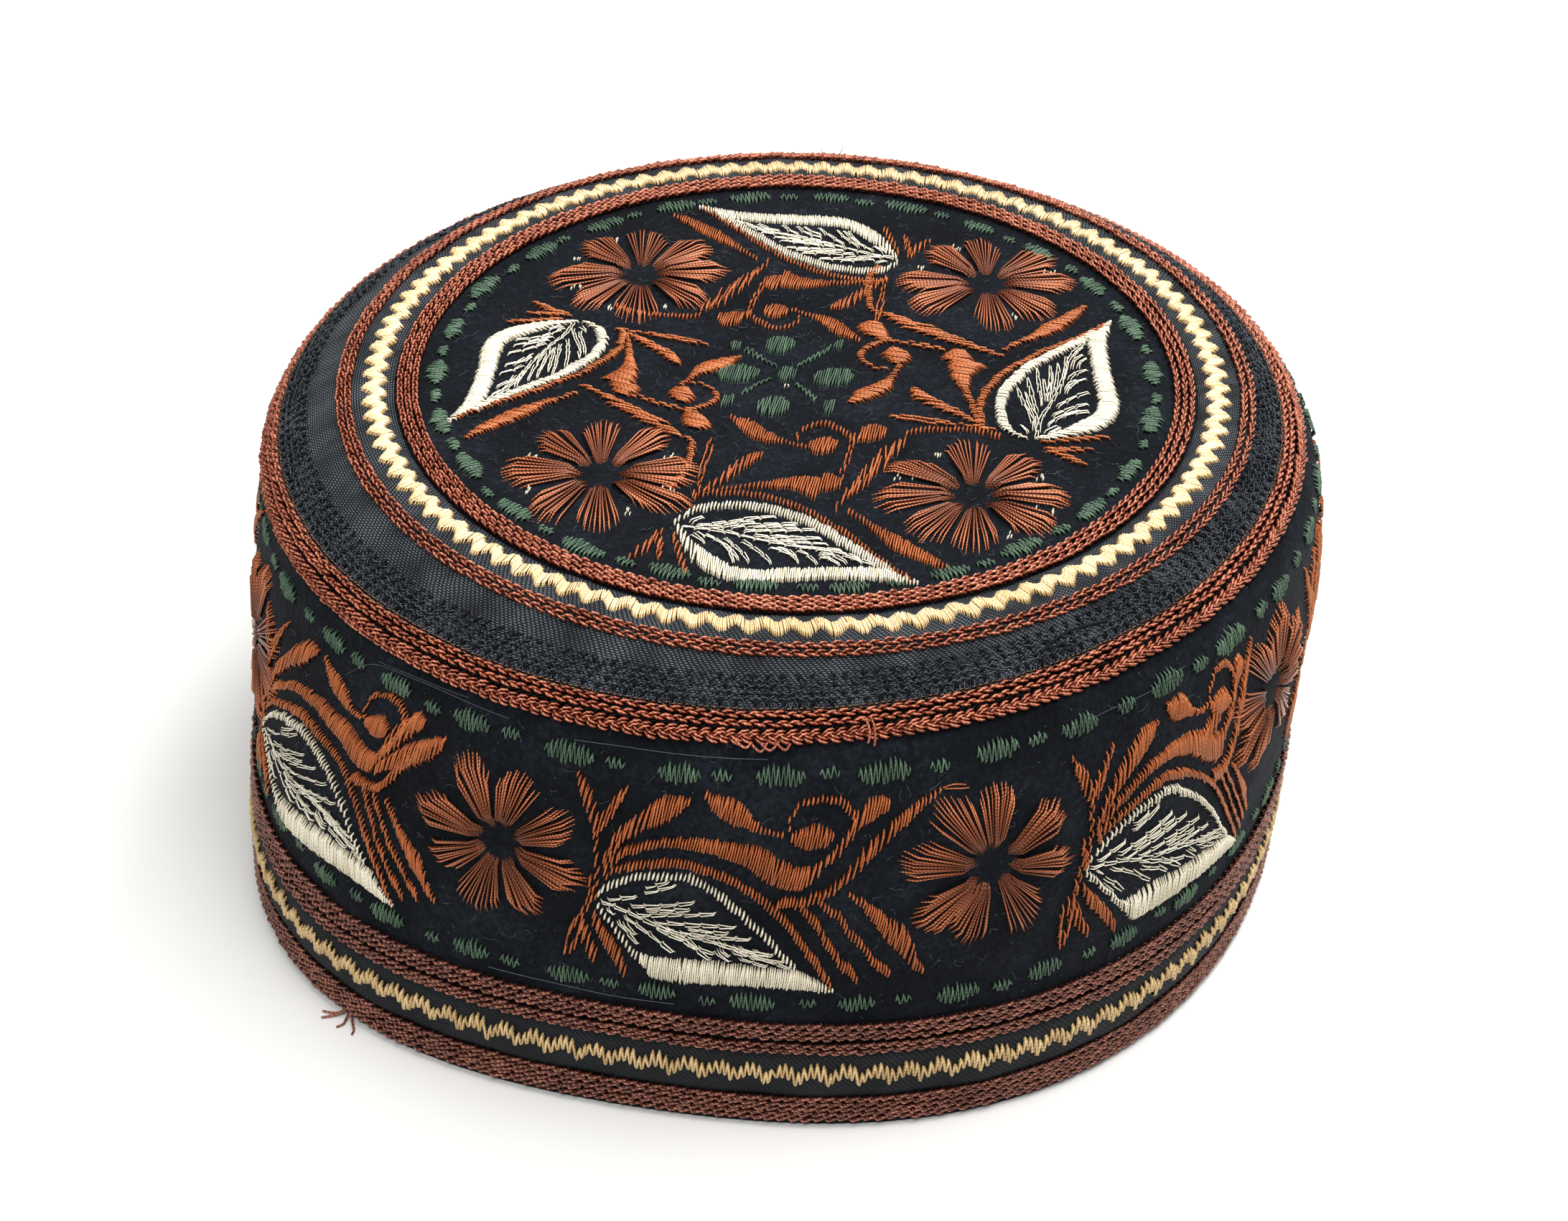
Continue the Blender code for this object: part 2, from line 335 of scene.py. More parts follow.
def satinMaterial(name, dark, middle, pale):
    # Polyester satin ribbon: warp threads float over the weft in slanted steps, so it is smooth, dark and
    # softly shiny; the top of each float is a painted highlight, which makes short pale dashes in rows
    look = satinLook
    material, tree, shader = newMaterial(name, Specular_IOR_Level=0.22)
    place = {"Vector": addNode(tree, "UVMap", uv_map="threadMap").outputs["UV"]}
    parts = addNode(tree, "SeparateXYZ", place).outputs
    rows = addNode(tree, "Math", {0: parts["Y"], 1: 1 / look["row"]}, operation="MULTIPLY")
    rowNumber = addNode(tree, "Math", {0: rows}, operation="FLOOR")
    inRow = addNode(tree, "Math", {0: rows}, operation="FRACT")
    shift = addNode(tree, "Math", {0: rowNumber, 1: look["step"]}, operation="MULTIPLY")
    wander = addNode(tree, "TexNoise", place, Scale=look["wander"], Detail=2.0)
    dashes = addNode(tree, "Math", {0: parts["X"], 1: 1 / look["dash"]}, operation="MULTIPLY")
    slanted = addNode(tree, "Math", {0: dashes, 1: shift}, operation="ADD")
    loose = addNode(tree, "Math", {0: slanted, 1: wander}, operation="ADD")
    inDash = addNode(tree, "Math", {0: loose}, operation="FRACT")
    # each float is highest in its middle: a hump across the row times a hump along the dash, and each hump is
    # one less four times the squared distance from the middle
    humps = []
    for value in (inRow, inDash):
        centred = addNode(tree, "Math", {0: value, 1: 0.5}, operation="SUBTRACT")
        square = addNode(tree, "Math", {0: centred, 1: centred}, operation="MULTIPLY")
        humps.append(addNode(tree, "Math", {0: square, 1: -4.0, 2: 1.0}, operation="MULTIPLY_ADD"))
    hump = addNode(tree, "Math", dict(enumerate(humps)), operation="MULTIPLY")
    cloudy = addNode(tree, "TexNoise", place, Scale=look["cloud"], Detail=3.0)
    # painted highlight: the colour is lighter on each float's top, dimmed in random clouds
    lit = addNode(tree, "Math", {0: hump, 1: cloudy}, operation="MULTIPLY")
    colour = ramp(tree, lit, ((0.08, dark), (0.28, middle), (0.5, pale)))
    rough = addNode(tree, "MapRange", {"Value": hump}, To_Min=0.75, To_Max=0.5)
    bump = addNode(tree, "Bump", {"Height": hump}, Strength=1.0, Distance=look["depth"] * mm)
    feed(tree, shader, {"Base Color": colour, "Roughness": rough, "Normal": bump})
    return material


plyLook = {"ownTint": 0.35, "patchy": 0.65, "patch": 9.0, "depth": 0.12}


def threadMaterial(name, dark, middle, pale, roughness, gloss, shine, paintedPlyHighlight=0.25, twist=0.75):
    # Twisted two-ply embroidery thread, a little different from thread to thread: painted shade darkens it
    # between the threads and a painted highlight lightens their tops, and the plies show as slanted ridges
    # with a painted highlight on each crest. Its gloss has the thread's own colour, because light comes back
    # out of the dyed fibres. Real plies repeat every 0.4 mm; they are drawn at the twist's length so that
    # they show.
    look = plyLook
    material, tree, shader = newMaterial(
        name, Specular_IOR_Level=gloss, Specular_Tint=linearColour(shine), Roughness=roughness)
    tint = addNode(tree, "Attribute", attribute_name="tint").outputs["Fac"]
    total = addNode(tree, "Attribute", attribute_name="paintedLight").outputs["Fac"]
    along = addNode(tree, "UVMap", uv_map="threadMap")
    parts = addNode(tree, "SeparateXYZ", {"Vector": along}).outputs
    twists = addNode(tree, "Math", {0: parts["X"], 1: twist}, operation="DIVIDE")
    wound = addNode(tree, "Math", {0: twists, 1: parts["Y"]}, operation="ADD")
    turn = addNode(tree, "Math", {0: wound, 1: 2 * math.pi}, operation="MULTIPLY")
    ply = addNode(tree, "Math", {0: turn}, operation="SINE")
    ridge = addNode(tree, "MapRange", {"Value": ply}, From_Min=-1.0, To_Min=0.0)
    place = {"Vector": addNode(tree, "TexCoord").outputs["Object"]}
    fade = addNode(tree, "TexNoise", place, Scale=1 / (look["patch"] * mm), Detail=2.0)
    # each thread's own tint, the painted highlight on the ply crests and random patches are added to the
    # painted light
    for value, weight in ((tint, look["ownTint"]), (ridge, paintedPlyHighlight), (fade, look["patchy"] - paintedPlyHighlight)):
        total = addNode(tree, "Math", {0: value, 1: weight, 2: total}, operation="MULTIPLY_ADD")
    half = addNode(tree, "Math", {0: total, 1: 0.5}, operation="MULTIPLY")
    # the ramp runs from painted shade between threads to painted highlight on their crests
    colour = ramp(tree, half, ((0.2, dark), (0.55, middle), (0.85, pale)))
    bump = addNode(tree, "Bump", {"Height": ridge}, Strength=0.6, Distance=look["depth"] * mm)
    feed(tree, shader, {"Base Color": colour, "Normal": bump})
    return material


velvet = velvetMaterial(pileLook)
# each satin's colours: painted shade between the floats, middle, painted highlight on their tops
crownSatin = satinMaterial("blackTwillSatin", "#0a0b0d", "#262a2e", "#5c6269")
hemSatin = satinMaterial("blackHemSatin", "#040507", "#0c1015", "#20262e")
# painted shade between threads, body, painted highlight on the crest, roughness, gloss and its colour, then
# the painted highlight on the ply crests, and twist
rustBraidThread = threadMaterial(
    "rustRayonBraidThread", "#1a0906", "#7c3826", "#e0906e", 0.28, 1.0, "#ffc9ae", 0.35)
lowBraidThread = threadMaterial(
    "rustCottonBraidThread", "#0f0706", "#50271f", "#bd7a64", 0.32, 1.0, "#ffd2c0", 0.35)
rustFlowerThread = threadMaterial(
    "rustRayonFlowerThread", "#170703", "#743821", "#dc885c", 0.3, 1.0, "#ffb896", 0.5, 0.6)
orangeThread = threadMaterial("orangeRayonThread", "#3a1507", "#954a24", "#cb7442", 0.34, 0.9, "#ffcfa6")
creamThread = threadMaterial("creamRayonThread", "#6f6450", "#dcd2b8", "#fcf7e8", 0.4, 0.6, "#fff6e0")
goldThread = threadMaterial("goldRayonThread", "#a88757", "#e6c590", "#fdeecb", 0.34, 0.9, "#fff0cc", 0.2)
hemGoldThread = threadMaterial("hemGoldThread", "#5a4529", "#b99a69", "#e8cfa2", 0.42, 0.5, "#fff0d0")
greenThread = threadMaterial("greenCottonThread", "#0d130f", "#35473a", "#70896f", 0.55, 0.4, "#e0ffe6")
blackThread = threadMaterial("blackPolyesterThread", "#060708", "#202327", "#565d65", 0.42, 0.5, "#e6efff")
notchThread = threadMaterial("blackCottonThread", "#020203", "#060708", "#14161a", 0.8, 0.2, "#ffffff")
brownBeadThread = threadMaterial("darkBrownThread", "#0a0605", "#30201a", "#76543f", 0.35, 0.9, "#ffe0cc")
lintFibre = threadMaterial("greyLintFibre", "#2a2d31", "#4c5157", "#7e848a", 0.8, 0.2, "#ffffff")
print("materials made")


# Velvet cap: the wall and the crown as closed shells


def roundTheCap():
    # even steps of angle, once round
    return np.linspace(0, 2 * math.pi, cap["columns"], endpoint=False)


def ringGrid(name, runs, lifts, material, poles=None, relief=None):
    # loops of points at the given runs and lifts, bridged in order; the last joins the first, or each end
    # closes in a fan round its pole. The map is millimetres round the cap and along the section.
    angle = roundTheCap()
    columns = cap["columns"]
    rows = len(runs)
    runs = np.stack([r + np.zeros(columns) for r in runs])
    lifts = np.stack([v + np.zeros(columns) for v in lifts])
    if relief is not None:
        lifts = lifts + relief(angle[None, :], runs) * (lifts >= 0)
    points = onCap(angle[None, :], runs, lifts)
    pairs = rows if poles is None else rows - 1
    i = np.arange(pairs)[:, None]
    j = np.arange(columns)[None, :]
    k = (j + 1) % columns
    low = i * columns
    high = (i + 1) % rows * columns
    quads = np.stack([low + j, low + k, high + k, high + j], axis=-1).reshape(-1, 4)
    around = 2 * math.pi * cap["crownRadius"] / columns
    across = np.concatenate([np.cumsum(np.abs(np.diff(runs.mean(1), prepend=runs[0].mean()))), [0]])
    lowRun = np.broadcast_to(across[:pairs, None], (pairs, columns))
    highRun = np.broadcast_to(across[1:pairs + 1, None], (pairs, columns))
    left = np.broadcast_to(j * around, (pairs, columns))
    maps = [np.stack([left, lowRun, left + around, lowRun, left + around, highRun, left, highRun],
                     axis=-1).reshape(-1, 4, 2)]
    points = points.reshape(-1, 3)
    blocks = [quads]
    if poles is not None:
        tip = len(points)
        points = np.vstack([points, poles])
        j = np.arange(columns)
        k = (j + 1) % columns
        last = (rows - 1) * columns
        blocks.append(np.concatenate([np.stack([tip + 0 * j, k, j], axis=1),
                                      np.stack([tip + 1 + 0 * j, last + j, last + k], axis=1)]))
        maps.append(np.zeros((2 * columns, 3, 2)))
    return putMesh(name, points, blocks, material, maps)


velvetLook = {
    "wallRows": 44,
    "crownRows": 40,
    "innerRows": 8,
    "dimple": 0.25,  # how far the embroidered velvet puckers in and out
    "seamGap": 0.5,
    "seamTuck": 0.8,
    "poleShare": 0.03,  # where the crown's rings end and its middle closes
    "shoulderShare": 0.77,
}


def pucker(angle, run):
    # soft dents, a few millimetres wide, from waves that run both ways round the cap
    return velvetLook["dimple"] * (np.sin(19 * angle + run * 0.21) * np.sin(run * 0.33 + 4 * angle) * 0.6
                                   + np.sin(31 * angle - run * 0.4 + 1.3) * 0.4) * np.clip(run / 8, 0, 1)


def velvetPieces():
    # the wall goes up outside and down inside; the crown goes from its inner pole out to the seam and back
    seam = cap["seamRun"] + seamSway(roundTheCap())
    inside = velvetLook["innerRows"]
    outer = [seam * t for t in np.linspace(0, 1, velvetLook["wallRows"])]
    inner = [seam * t for t in np.linspace(1, 0, inside)]
    tuck = np.zeros(len(outer))
    tuck[-1] = -velvetLook["seamTuck"]
    lifts = list(tuck) + [-cap["wall"]] * len(inner)
    band = ringGrid("velvetBand", outer + inner, lifts, velvet, relief=pucker)
    # both edges of the rim lie on the floor
    points = np.empty(len(band.data.vertices) * 3, np.float32)
    band.data.vertices.foreach_get("co", points)
    points = points.reshape(-1, 3)
    points[-cap["columns"]:, 2] = 0
    points[:cap["columns"], 2] = 0
    band.data.vertices.foreach_set("co", points.ravel())
    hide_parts("side_band")
    start = seam + velvetLook["seamGap"]
    flat = runAtShare(velvetLook["poleShare"])
    shoulder = runAtShare(velvetLook["shoulderShare"])
    steps = np.linspace(0, 1, velvetLook["crownRows"])
    outer = [start + (shoulder - start) * t for t in steps[::2]]
    outer += [shoulder + (flat - shoulder) * t for t in steps[1::2]]
    inner = [flat, shoulder] + [shoulder + (start - shoulder) * t for t in np.linspace(0, 1, inside)[1:]]
    tuck = np.zeros(len(outer))
    tuck[0] = -velvetLook["seamTuck"]
    top = cap["crownHeight"]
    lifts = [-cap["wall"]] * len(inner) + list(tuck)
    poles = [(0, 0, top - cap["wall"]), (0, 0, top)]
    crown = ringGrid("velvetCrown", inner + outer, lifts, velvet, poles=poles)
    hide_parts("crown")
    print("velvet wall and crown made")


velvetPieces()


# Satin ribbons round the crown and the hem

ribbonLook = {
    "over": 0.3,
    "thick": 0.45,
    "crownStartAfterSeam": 2.6,
    "crownEndShare": 0.742,
    "hemHeights": (6.4, 16.4),
}


def ribbonPiece(name, node, cloth, start, end, rows):
    # a thin closed band between two runs, with its face over the velvet and its edges pressed down
    steps = np.linspace(0, 1, rows)
    face = [start + (end - start) * t for t in steps]
    top = ribbonLook["over"] + ribbonLook["thick"]
    edge = np.minimum(1, 6 * np.minimum(steps, 1 - steps) + 0.35)

    def waves(angle, run):
        # shallow cockles where the ribbon is pulled round the curve
        return 0.10 * np.sin(23 * angle + run * 0.5) + 0.07 * np.sin(41 * angle - run * 0.8)

    piece = ringGrid(name, face + face[::-1], list(top * edge) + [-0.1] * rows, cloth, relief=waves)
    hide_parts(node)


def ribbonPieces():
    # the crown's ribbon goes on under the black stitches, down to the seam
    start = cap["seamRun"] + ribbonLook["crownStartAfterSeam"] + seamSway(roundTheCap())
    end = runAtShare(ribbonLook["crownEndShare"])
    ribbonPiece("satinCrownRibbon", "crown_ribbon", crownSatin, start, end, 30)
    low, high = (runAtHeight(h) for h in ribbonLook["hemHeights"])
    ribbonPiece("satinHemRibbon", "hem_ribbon", hemSatin, low, high, 8)
    print("satin ribbons made")


ribbonPieces()


# Chain-stitched braids and the looped black edge


class RowPlace:
    # a row round the cap: distance along it and across it in millimetres, turned into a place on the cap
    def __init__(self, run, sway=0.0, over=0.0):
        # measures the row's length from angle to angle, once round
        self.run, self.sway, self.over = run, sway, over
        angle = np.linspace(0, 2 * math.pi, cap["rowSteps"])
        loop = onCap(angle, run + sway * seamSway(angle), over)
        self.angle = angle
        self.length = np.concatenate([[0], np.cumsum(np.linalg.norm(np.diff(loop, axis=0), axis=1))])

    def __call__(self, along, across, lift):
        # the angle is read from the measured lengths round the row
        angle = np.interp(along % self.length[-1], self.length, self.angle)
        return onCap(angle, self.run + self.sway * seamSway(angle) + across, lift + self.over)


def chainRow(place, look, rng):
    # one row of plaited chain stitches: each strand starts low, just over the row's middle line, slants out
    # over the strand before it to the row's edge and dives there; the two sides are out of step
    total = place.length[-1]
    count = int(round(total / look["pitch"]))
    strands = np.array(look["strands"])
    at = (np.arange(count) + rng.uniform(0, 1)) * total / count
    side, layer = np.tile(strands, (count, 1)).T[:, :, None]
    at = np.repeat(at, len(strands))
    which = np.repeat(np.arange(count), len(strands))
    # the stitches between two places on the seam have come loose
    rough = np.ones(count)
    if "loose" in look:
        angle = np.degrees(np.interp(at[::len(strands)] % total, place.length, place.angle))
        rough[(angle > look["loose"][0]) & (angle < look["loose"][1])] = 3.0
    layers = len(strands) / 2
    wide = (look["rowWidth"] - look["thread"] * layers) / 2
    long = look["pitch"] * look["reach"]
    share = np.array([0.0, 0.25, 0.55, 0.85, 1.0])
    spread = look["cross"] + (1 - look["cross"]) * np.array([0.0, 0.42, 0.85, 1.0, 0.9])
    rise = np.array([-0.35, 0.6, 1.0, 0.75, -0.2])
    each = {"size": rng.uniform(0.9, 1.1, count), "drift": rng.normal(0, look["wander"], count) * rough,
            "slip": rng.normal(0, look["wander"], count) * rough, "high": rng.uniform(0.85, 1.15, count)}
    each = {key: values[which][:, None] for key, values in each.items()}
    s = at[:, None] + share * long * each["size"] + each["slip"]
    s = s + look["stagger"] * look["pitch"] * (side > 0)
    v = side * wide * spread * each["size"] + layer * look["thread"] + each["drift"]
    lift = rise * look["lift"] * each["high"] + rng.normal(0, 0.03, (len(at), 1))
    points = place(s, v, lift)
    up = place(s, v, lift + 1) - points
    thick = look["thread"] * 0.56 * rng.uniform(0.9, 1.1, (len(at), 1)) * np.array([0.7, 1.0, 1.1, 1.0, 0.7])
    # painted light along each strand: painted shade where it starts and dives, painted highlight on its top
    shine = np.array([0.0, 0.6, 1.0, 0.8, 0.1])
    return points, up, thick, thick * 0.95, 3, shine


# a strand's side of the row, and its place across in threads
pairStrands = ((-1.0, 0.0), (1.0, 0.0))
quadStrands = ((-1.0, -0.45), (-1.0, 0.45), (1.0, -0.45), (1.0, 0.45))
braidLooks = {
    # for each solid: its piece, where its first row starts, its rows, and what differs from the usual look
    "hem_braid": {"piece": "hemChainBraid", "start": 1.3, "rows": 5, "rowWidth": 1.08,
                  "cloth": lowBraidThread},
    "band_braid_low": {"piece": "lowBandChainBraid", "start": 16.2, "rows": 2, "rowWidth": 1.2,
                       "cloth": lowBraidThread},
    "band_braid_high": {"piece": "highBandChainBraid", "start": 19.2, "rows": 3, "rowWidth": 1.17,
                        "cloth": lowBraidThread},
    "edge_braid_low": {"piece": "lowEdgeChainBraid", "start": 74.3, "rows": 1, "rowWidth": 2.45, "pitch": 1.8,
                       "sway": 1.0, "thread": 0.55, "lift": 1.0, "wander": 0.07, "reach": 1.3, "cross": -0.6,
                       "strands": quadStrands, "loose": (-101.0, -76.0)},
    "edge_braid_high": {"piece": "highEdgeChainBraid", "start": 76.85, "rows": 2, "rowWidth": 1.3,
                        "pitch": 1.9, "sway": 1.0, "thread": 0.6, "lift": 0.95, "wander": 0.07,
                        "cross": -0.7},
    "middle_braid": {"piece": "middleChainBraid", "start": 87.93, "rows": 2, "rowWidth": 1.32, "above": 0.75},
    "inner_braid": {"piece": "innerChainBraid", "start": 97.53, "rows": 3, "rowWidth": 1.26, "above": 0.35},
}


def chainBraids():
    # each braid is its rows of chain stitches, side by side
    for seed, (node, settings) in enumerate(braidLooks.items()):
        look = {"pitch": 1.95, "reach": 1.2, "thread": 0.52, "lift": 0.8, "wander": 0.05, "cross": -0.5,
                "stagger": 0.5, "sway": 0.0, "strands": pairStrands}
        look.update(settings)
        rng = np.random.default_rng(100 + seed)
        bundles = []
        for row in range(look["rows"]):
            run = look["start"] + (row + 0.5) * look["rowWidth"]
            place = RowPlace(run, look["sway"], look.get("above", 0.15))
            bundles.append(chainRow(place, look, rng))
        piece = threadPiece(look["piece"], bundles, look.get("cloth", rustBraidThread), 200 + seed)
        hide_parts(node)


chainBraids()
print("braids made")


edgeLook = {
    # row: distance after the seam, half length along and across, pitch
    "rows": ((3.6, 0.25, 0.75, 0.42), (4.7, 0.65, 0.3, 0.62), (5.7, 0.65, 0.3, 0.66), (6.7, 0.6, 0.3, 0.75),
             (7.7, 0.5, 0.3, 1.0), (8.6, 0.4, 0.3, 1.8)),
    "threadWidth": 0.15,
    "notchRows": (4.2, 5.5, 6.8, 8.1),
    "notchPitch": 2.35,
    "notchWidth": 0.19,
    "above": 0.7,
    "slope": 1.7,  # the stitches rise to that height over this distance from the ribbon's edge
}


def stitchedEdge():
    # Black machine stitching on the ribbon's outer side: a dense row across it beside the seam, loose rows
    # along it, and V-shaped notches where a heavy needle went through
    rng = np.random.default_rng(31)
    bundles = []
    for after, along, across, pitch in edgeLook["rows"]:
        rise = (after - ribbonLook["crownStartAfterSeam"]) / edgeLook["slope"]
        place = RowPlace(cap["seamRun"] + after, 1.0, edgeLook["above"] * min(1, rise))
        count = int(place.length[-1] / pitch)
        at = np.arange(count) * pitch + rng.normal(0, 0.15 * pitch, count)
        side = np.where(np.arange(count) % 2 == 0, 1, -1)
        slant = along * rng.uniform(0.7, 1.2, count)
        reach = side * across * rng.uniform(0.6, 1.2, count)
        middle = rng.normal(0, 0.14, count)
        starts = np.stack([at - slant, middle - reach], axis=1)
        ends = np.stack([at + slant, middle + reach], axis=1)
        look = {"width": edgeLook["threadWidth"], "lift": 0.3}
        bundles.append(layStitches(place, starts, ends, look, rng))
    piece = threadPiece("blackStitchedEdge", bundles, blackThread, 32)
    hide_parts("edge_stitch_band")
    notches = []
    for number, after in enumerate(edgeLook["notchRows"]):
        place = RowPlace(cap["seamRun"] + after, 1.0, edgeLook["above"])
        count = int(round(place.length[-1] / edgeLook["notchPitch"]))
        at = (np.arange(count) + 0.37 * number) * place.length[-1] / count + rng.normal(0, 0.25, count)
        for side in (-1, 1):
            tip = np.stack([at + rng.normal(0, 0.06, count), rng.normal(-0.55, 0.1, count)], axis=1)
            top = np.stack([at + side * rng.uniform(0.25, 0.5, count), rng.normal(0.55, 0.12, count)], axis=1)
            notches.append(layStitches(place, tip, top, {"width": edgeLook["notchWidth"], "lift": 0.34}, rng))
    threadPiece("blackNeedleNotches", notches, notchThread, 33)


seamLook = {
    "loops": {"pitch": 1.0, "reach": 1.2, "rowWidth": 0.85, "thread": 0.34, "lift": 0.5, "wander": 0.06,
              "cross": 0.1, "stagger": 0.3, "strands": pairStrands},
    "loopsAfter": 3.0,  # past the seam
    "bindingAfter": 0.4,
    "bindingPitch": 0.9,
    "bindingLong": 1.3,
    "bindingHalf": 0.3,
}


def seamThreads():
    # a dark brown row of small tight loops beside the upper edge braid, and black binding between the two
    rng = np.random.default_rng(35)
    row = RowPlace(cap["seamRun"] + seamLook["loopsAfter"], 1.0, 0.45)
    threadPiece("brownSeamLoops", [chainRow(row, seamLook["loops"], rng)], brownBeadThread, 36)
    gap = RowPlace(cap["seamRun"] + seamLook["bindingAfter"], 1.0, 0.2)
    half = seamLook["bindingHalf"]
    at = np.arange(0, gap.length[-1], seamLook["bindingPitch"])
    starts = np.stack([at, rng.normal(-half, 0.1, len(at))], axis=1)
    ends = np.stack([at + seamLook["bindingLong"], rng.normal(half, 0.1, len(at))], axis=1)
    stitches = layStitches(gap, starts, ends, {"width": 0.2, "lift": 0.35}, rng)
    threadPiece("blackSeamBinding", [stitches], notchThread, 37)


stitchedEdge()
seamThreads()
print("stitched edge made")


# Gold zigzags

zigzagLooks = {
    # half is half a stitch, wave how far the line swings to each side, lean how far a stitch slants
    "crown": {"run": 94.1, "half": 1.5, "wave": 0.72, "period": 4.2, "pitch": 0.27, "fan": 0.3, "width": 0.2,
              "scallop": 0.12, "lean": 0.2},
    "hem": {"height": 11.6, "half": 1.6, "wave": 1.0, "period": 5.0, "pitch": 1.0, "width": 0.33,
            "lean": 0.22},
}


def crownZigzag():
    # satin stitches across a wavy line, fanned within each wave so that its outer side is scalloped
    look = zigzagLooks["crown"]
    rng = np.random.default_rng(41)
    place = RowPlace(look["run"], 0, 0.75)
    total = place.length[-1]
    waves = round(total / look["period"])
    count = round(total / look["pitch"])
    at = np.arange(count) * total / count
    phase = at / total * waves
    swing = phase % 1 - 0.5
    centre = look["wave"] * np.cos(2 * math.pi * phase)
    scallop = look["scallop"] * np.cos(2 * math.pi * phase + math.pi)
    half = look["half"] * (1 + scallop) + rng.normal(0, 0.06, count)
    outer = np.stack([at + look["fan"] * swing * 2 + look["lean"], centre - half], axis=1)
    inner = np.stack([at - look["fan"] * swing * 1.4 - look["lean"], centre + half], axis=1)
    outer += rng.normal(0, 0.05, outer.shape)
    inner += rng.normal(0, 0.04, inner.shape)
    stitches = layStitches(place, outer, inner, {"width": look["width"], "lift": 0.45, "flat": 0.95}, rng)
    piece = threadPiece("crownGoldZigzag", [stitches], goldThread, 42)
    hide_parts("crown_zigzag")


def hemZigzag():
    # one thread going up and down along a wavy line, its turns now closer and now further apart
    look = zigzagLooks["hem"]
    rng = np.random.default_rng(43)
    place = RowPlace(float(runAtHeight(look["height"])), 0, 0.75)
    total = place.length[-1]
    waves = round(total / look["period"])
    count = round(total / look["pitch"])
    at = np.arange(count + 1) * total / count
    at[:-1] += rng.normal(0, 0.1, count)
    phase = at / total * waves
    centre = look["wave"] * np.abs(np.sin(math.pi * phase)) * 2 - look["wave"]
    half = look["half"] * rng.uniform(0.85, 1.15, count + 1)
    low = np.stack([at - look["lean"], centre - half], axis=1)
    high = np.stack([at + look["lean"], centre + half], axis=1)
    starts = np.concatenate([low[:-1], high[:-1]])
    ends = np.concatenate([high[:-1], low[1:]])
    stitches = layStitches(place, starts, ends, {"width": look["width"], "lift": 0.4}, rng)
    piece = threadPiece("hemGoldZigzag", [stitches], hemGoldThread, 44)
    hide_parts("hem_zigzag")


crownZigzag()
hemZigzag()
print("zigzags made")


# Embroidery. A stroke is a filled shape: places along its middle with the length of its stitches there.
# On the wall x runs round the cap and y is the height; on the crown both lie in its plane.


def smoothLine(rows, step):
    # Catmull-Rom through the rows, read at even steps of length along the first two columns
    rows = np.array(rows, float)
    ends = np.vstack([2 * rows[0] - rows[1], rows, 2 * rows[-1] - rows[-2]])
    t = np.linspace(0, 1, 12, endpoint=False)[:, None]
    dense = [0.5 * (2 * ends[i] + (ends[i + 1] - ends[i - 1]) * t
                    + (2 * ends[i - 1] - 5 * ends[i] + 4 * ends[i + 1] - ends[i + 2]) * t**2
                    + (3 * ends[i] - ends[i - 1] - 3 * ends[i + 1] + ends[i + 2]) * t**3)
             for i in range(1, len(ends) - 2)]
    dense = np.vstack(dense + [rows[-1:]])
    run = np.concatenate([[0], np.cumsum(np.hypot(*np.diff(dense[:, :2], axis=0).T))])
    at = np.linspace(0, run[-1], max(2, int(run[-1] / step) + 1))
    return np.stack([np.interp(at, run, dense[:, c]) for c in range(rows.shape[1])], axis=1)


def satinStroke(rows, lean, pitch, rng, ragged=0.17):
    # stitches at one lean across the stroke's middle line, closer along it where it runs with the stitches
    # and further apart where it is narrow, so that each shows there
    line = smoothLine(rows, 0.05)
    direction = np.array([math.cos(math.radians(lean)), math.sin(math.radians(lean))])
    steps = np.diff(line[:, :2], axis=0)
    spread = np.abs(steps[:, 0] * direction[1] - steps[:, 1] * direction[0])
    length = np.hypot(*steps.T)
    thin = np.clip((line[:-1, 2] + line[1:, 2]) / 5, 0.62, 1.0)
    gained = np.concatenate([[0], np.cumsum(np.maximum(spread, 0.5 * length) * thin)])
    at = np.arange(rng.uniform(0, pitch), gained[-1], pitch)
    middle = np.stack([np.interp(at, gained, line[:, c]) for c in range(3)], axis=1)
    turn = np.radians(lean + rng.normal(0, 2.5, len(at)))
    across = np.stack([np.cos(turn), np.sin(turn)], axis=1)
    half = middle[:, 2:3] / 2
    # where the stroke runs with its stitches they lie side by side
    beside = np.interp(at, gained[1:], 1 - np.minimum(1, spread / (length + 1e-9) / 0.7))
    turns = np.where(np.arange(len(at)) % 2 == 0, 0.42, -0.42)
    shift = turns * beside * half[:, 0] * rng.uniform(0.5, 1.1, len(at))
    middle[:, :2] += shift[:, None] * np.stack([across[:, 1], -across[:, 0]], axis=1)
    low = middle[:, :2] - across * (half + rng.normal(0, ragged, half.shape))
    high = middle[:, :2] + across * (half + rng.normal(0, ragged, half.shape))
    return low, high


def runningStitches(rows, long, rng):
    # back stitches along a line, two threads side by side, each pair overlapping the next
    line = smoothLine(rows, 0.1)
    run = np.concatenate([[0], np.cumsum(np.hypot(*np.diff(line, axis=0).T))])
    count = max(1, int(round(run[-1] / long)))
    at = np.linspace(0, run[-1], count + 1)
    starts, ends = [], []
    for side in (-1, 1):
        low = np.stack([np.interp(at[:-1] - 0.2 * long, run, line[:, c]) for c in (0, 1)], axis=1)
        high = np.stack([np.interp(at[1:] + 0.05 * long, run, line[:, c]) for c in (0, 1)], axis=1)
        beside = (high - low)[:, ::-1] * (-1, 1) / long * 0.19 * side
        starts.append(low + beside * 1.3 + rng.normal(0, 0.07, low.shape))
        ends.append(high + beside * 0.5 + rng.normal(0, 0.07, high.shape))
    return np.concatenate(starts), np.concatenate(ends)


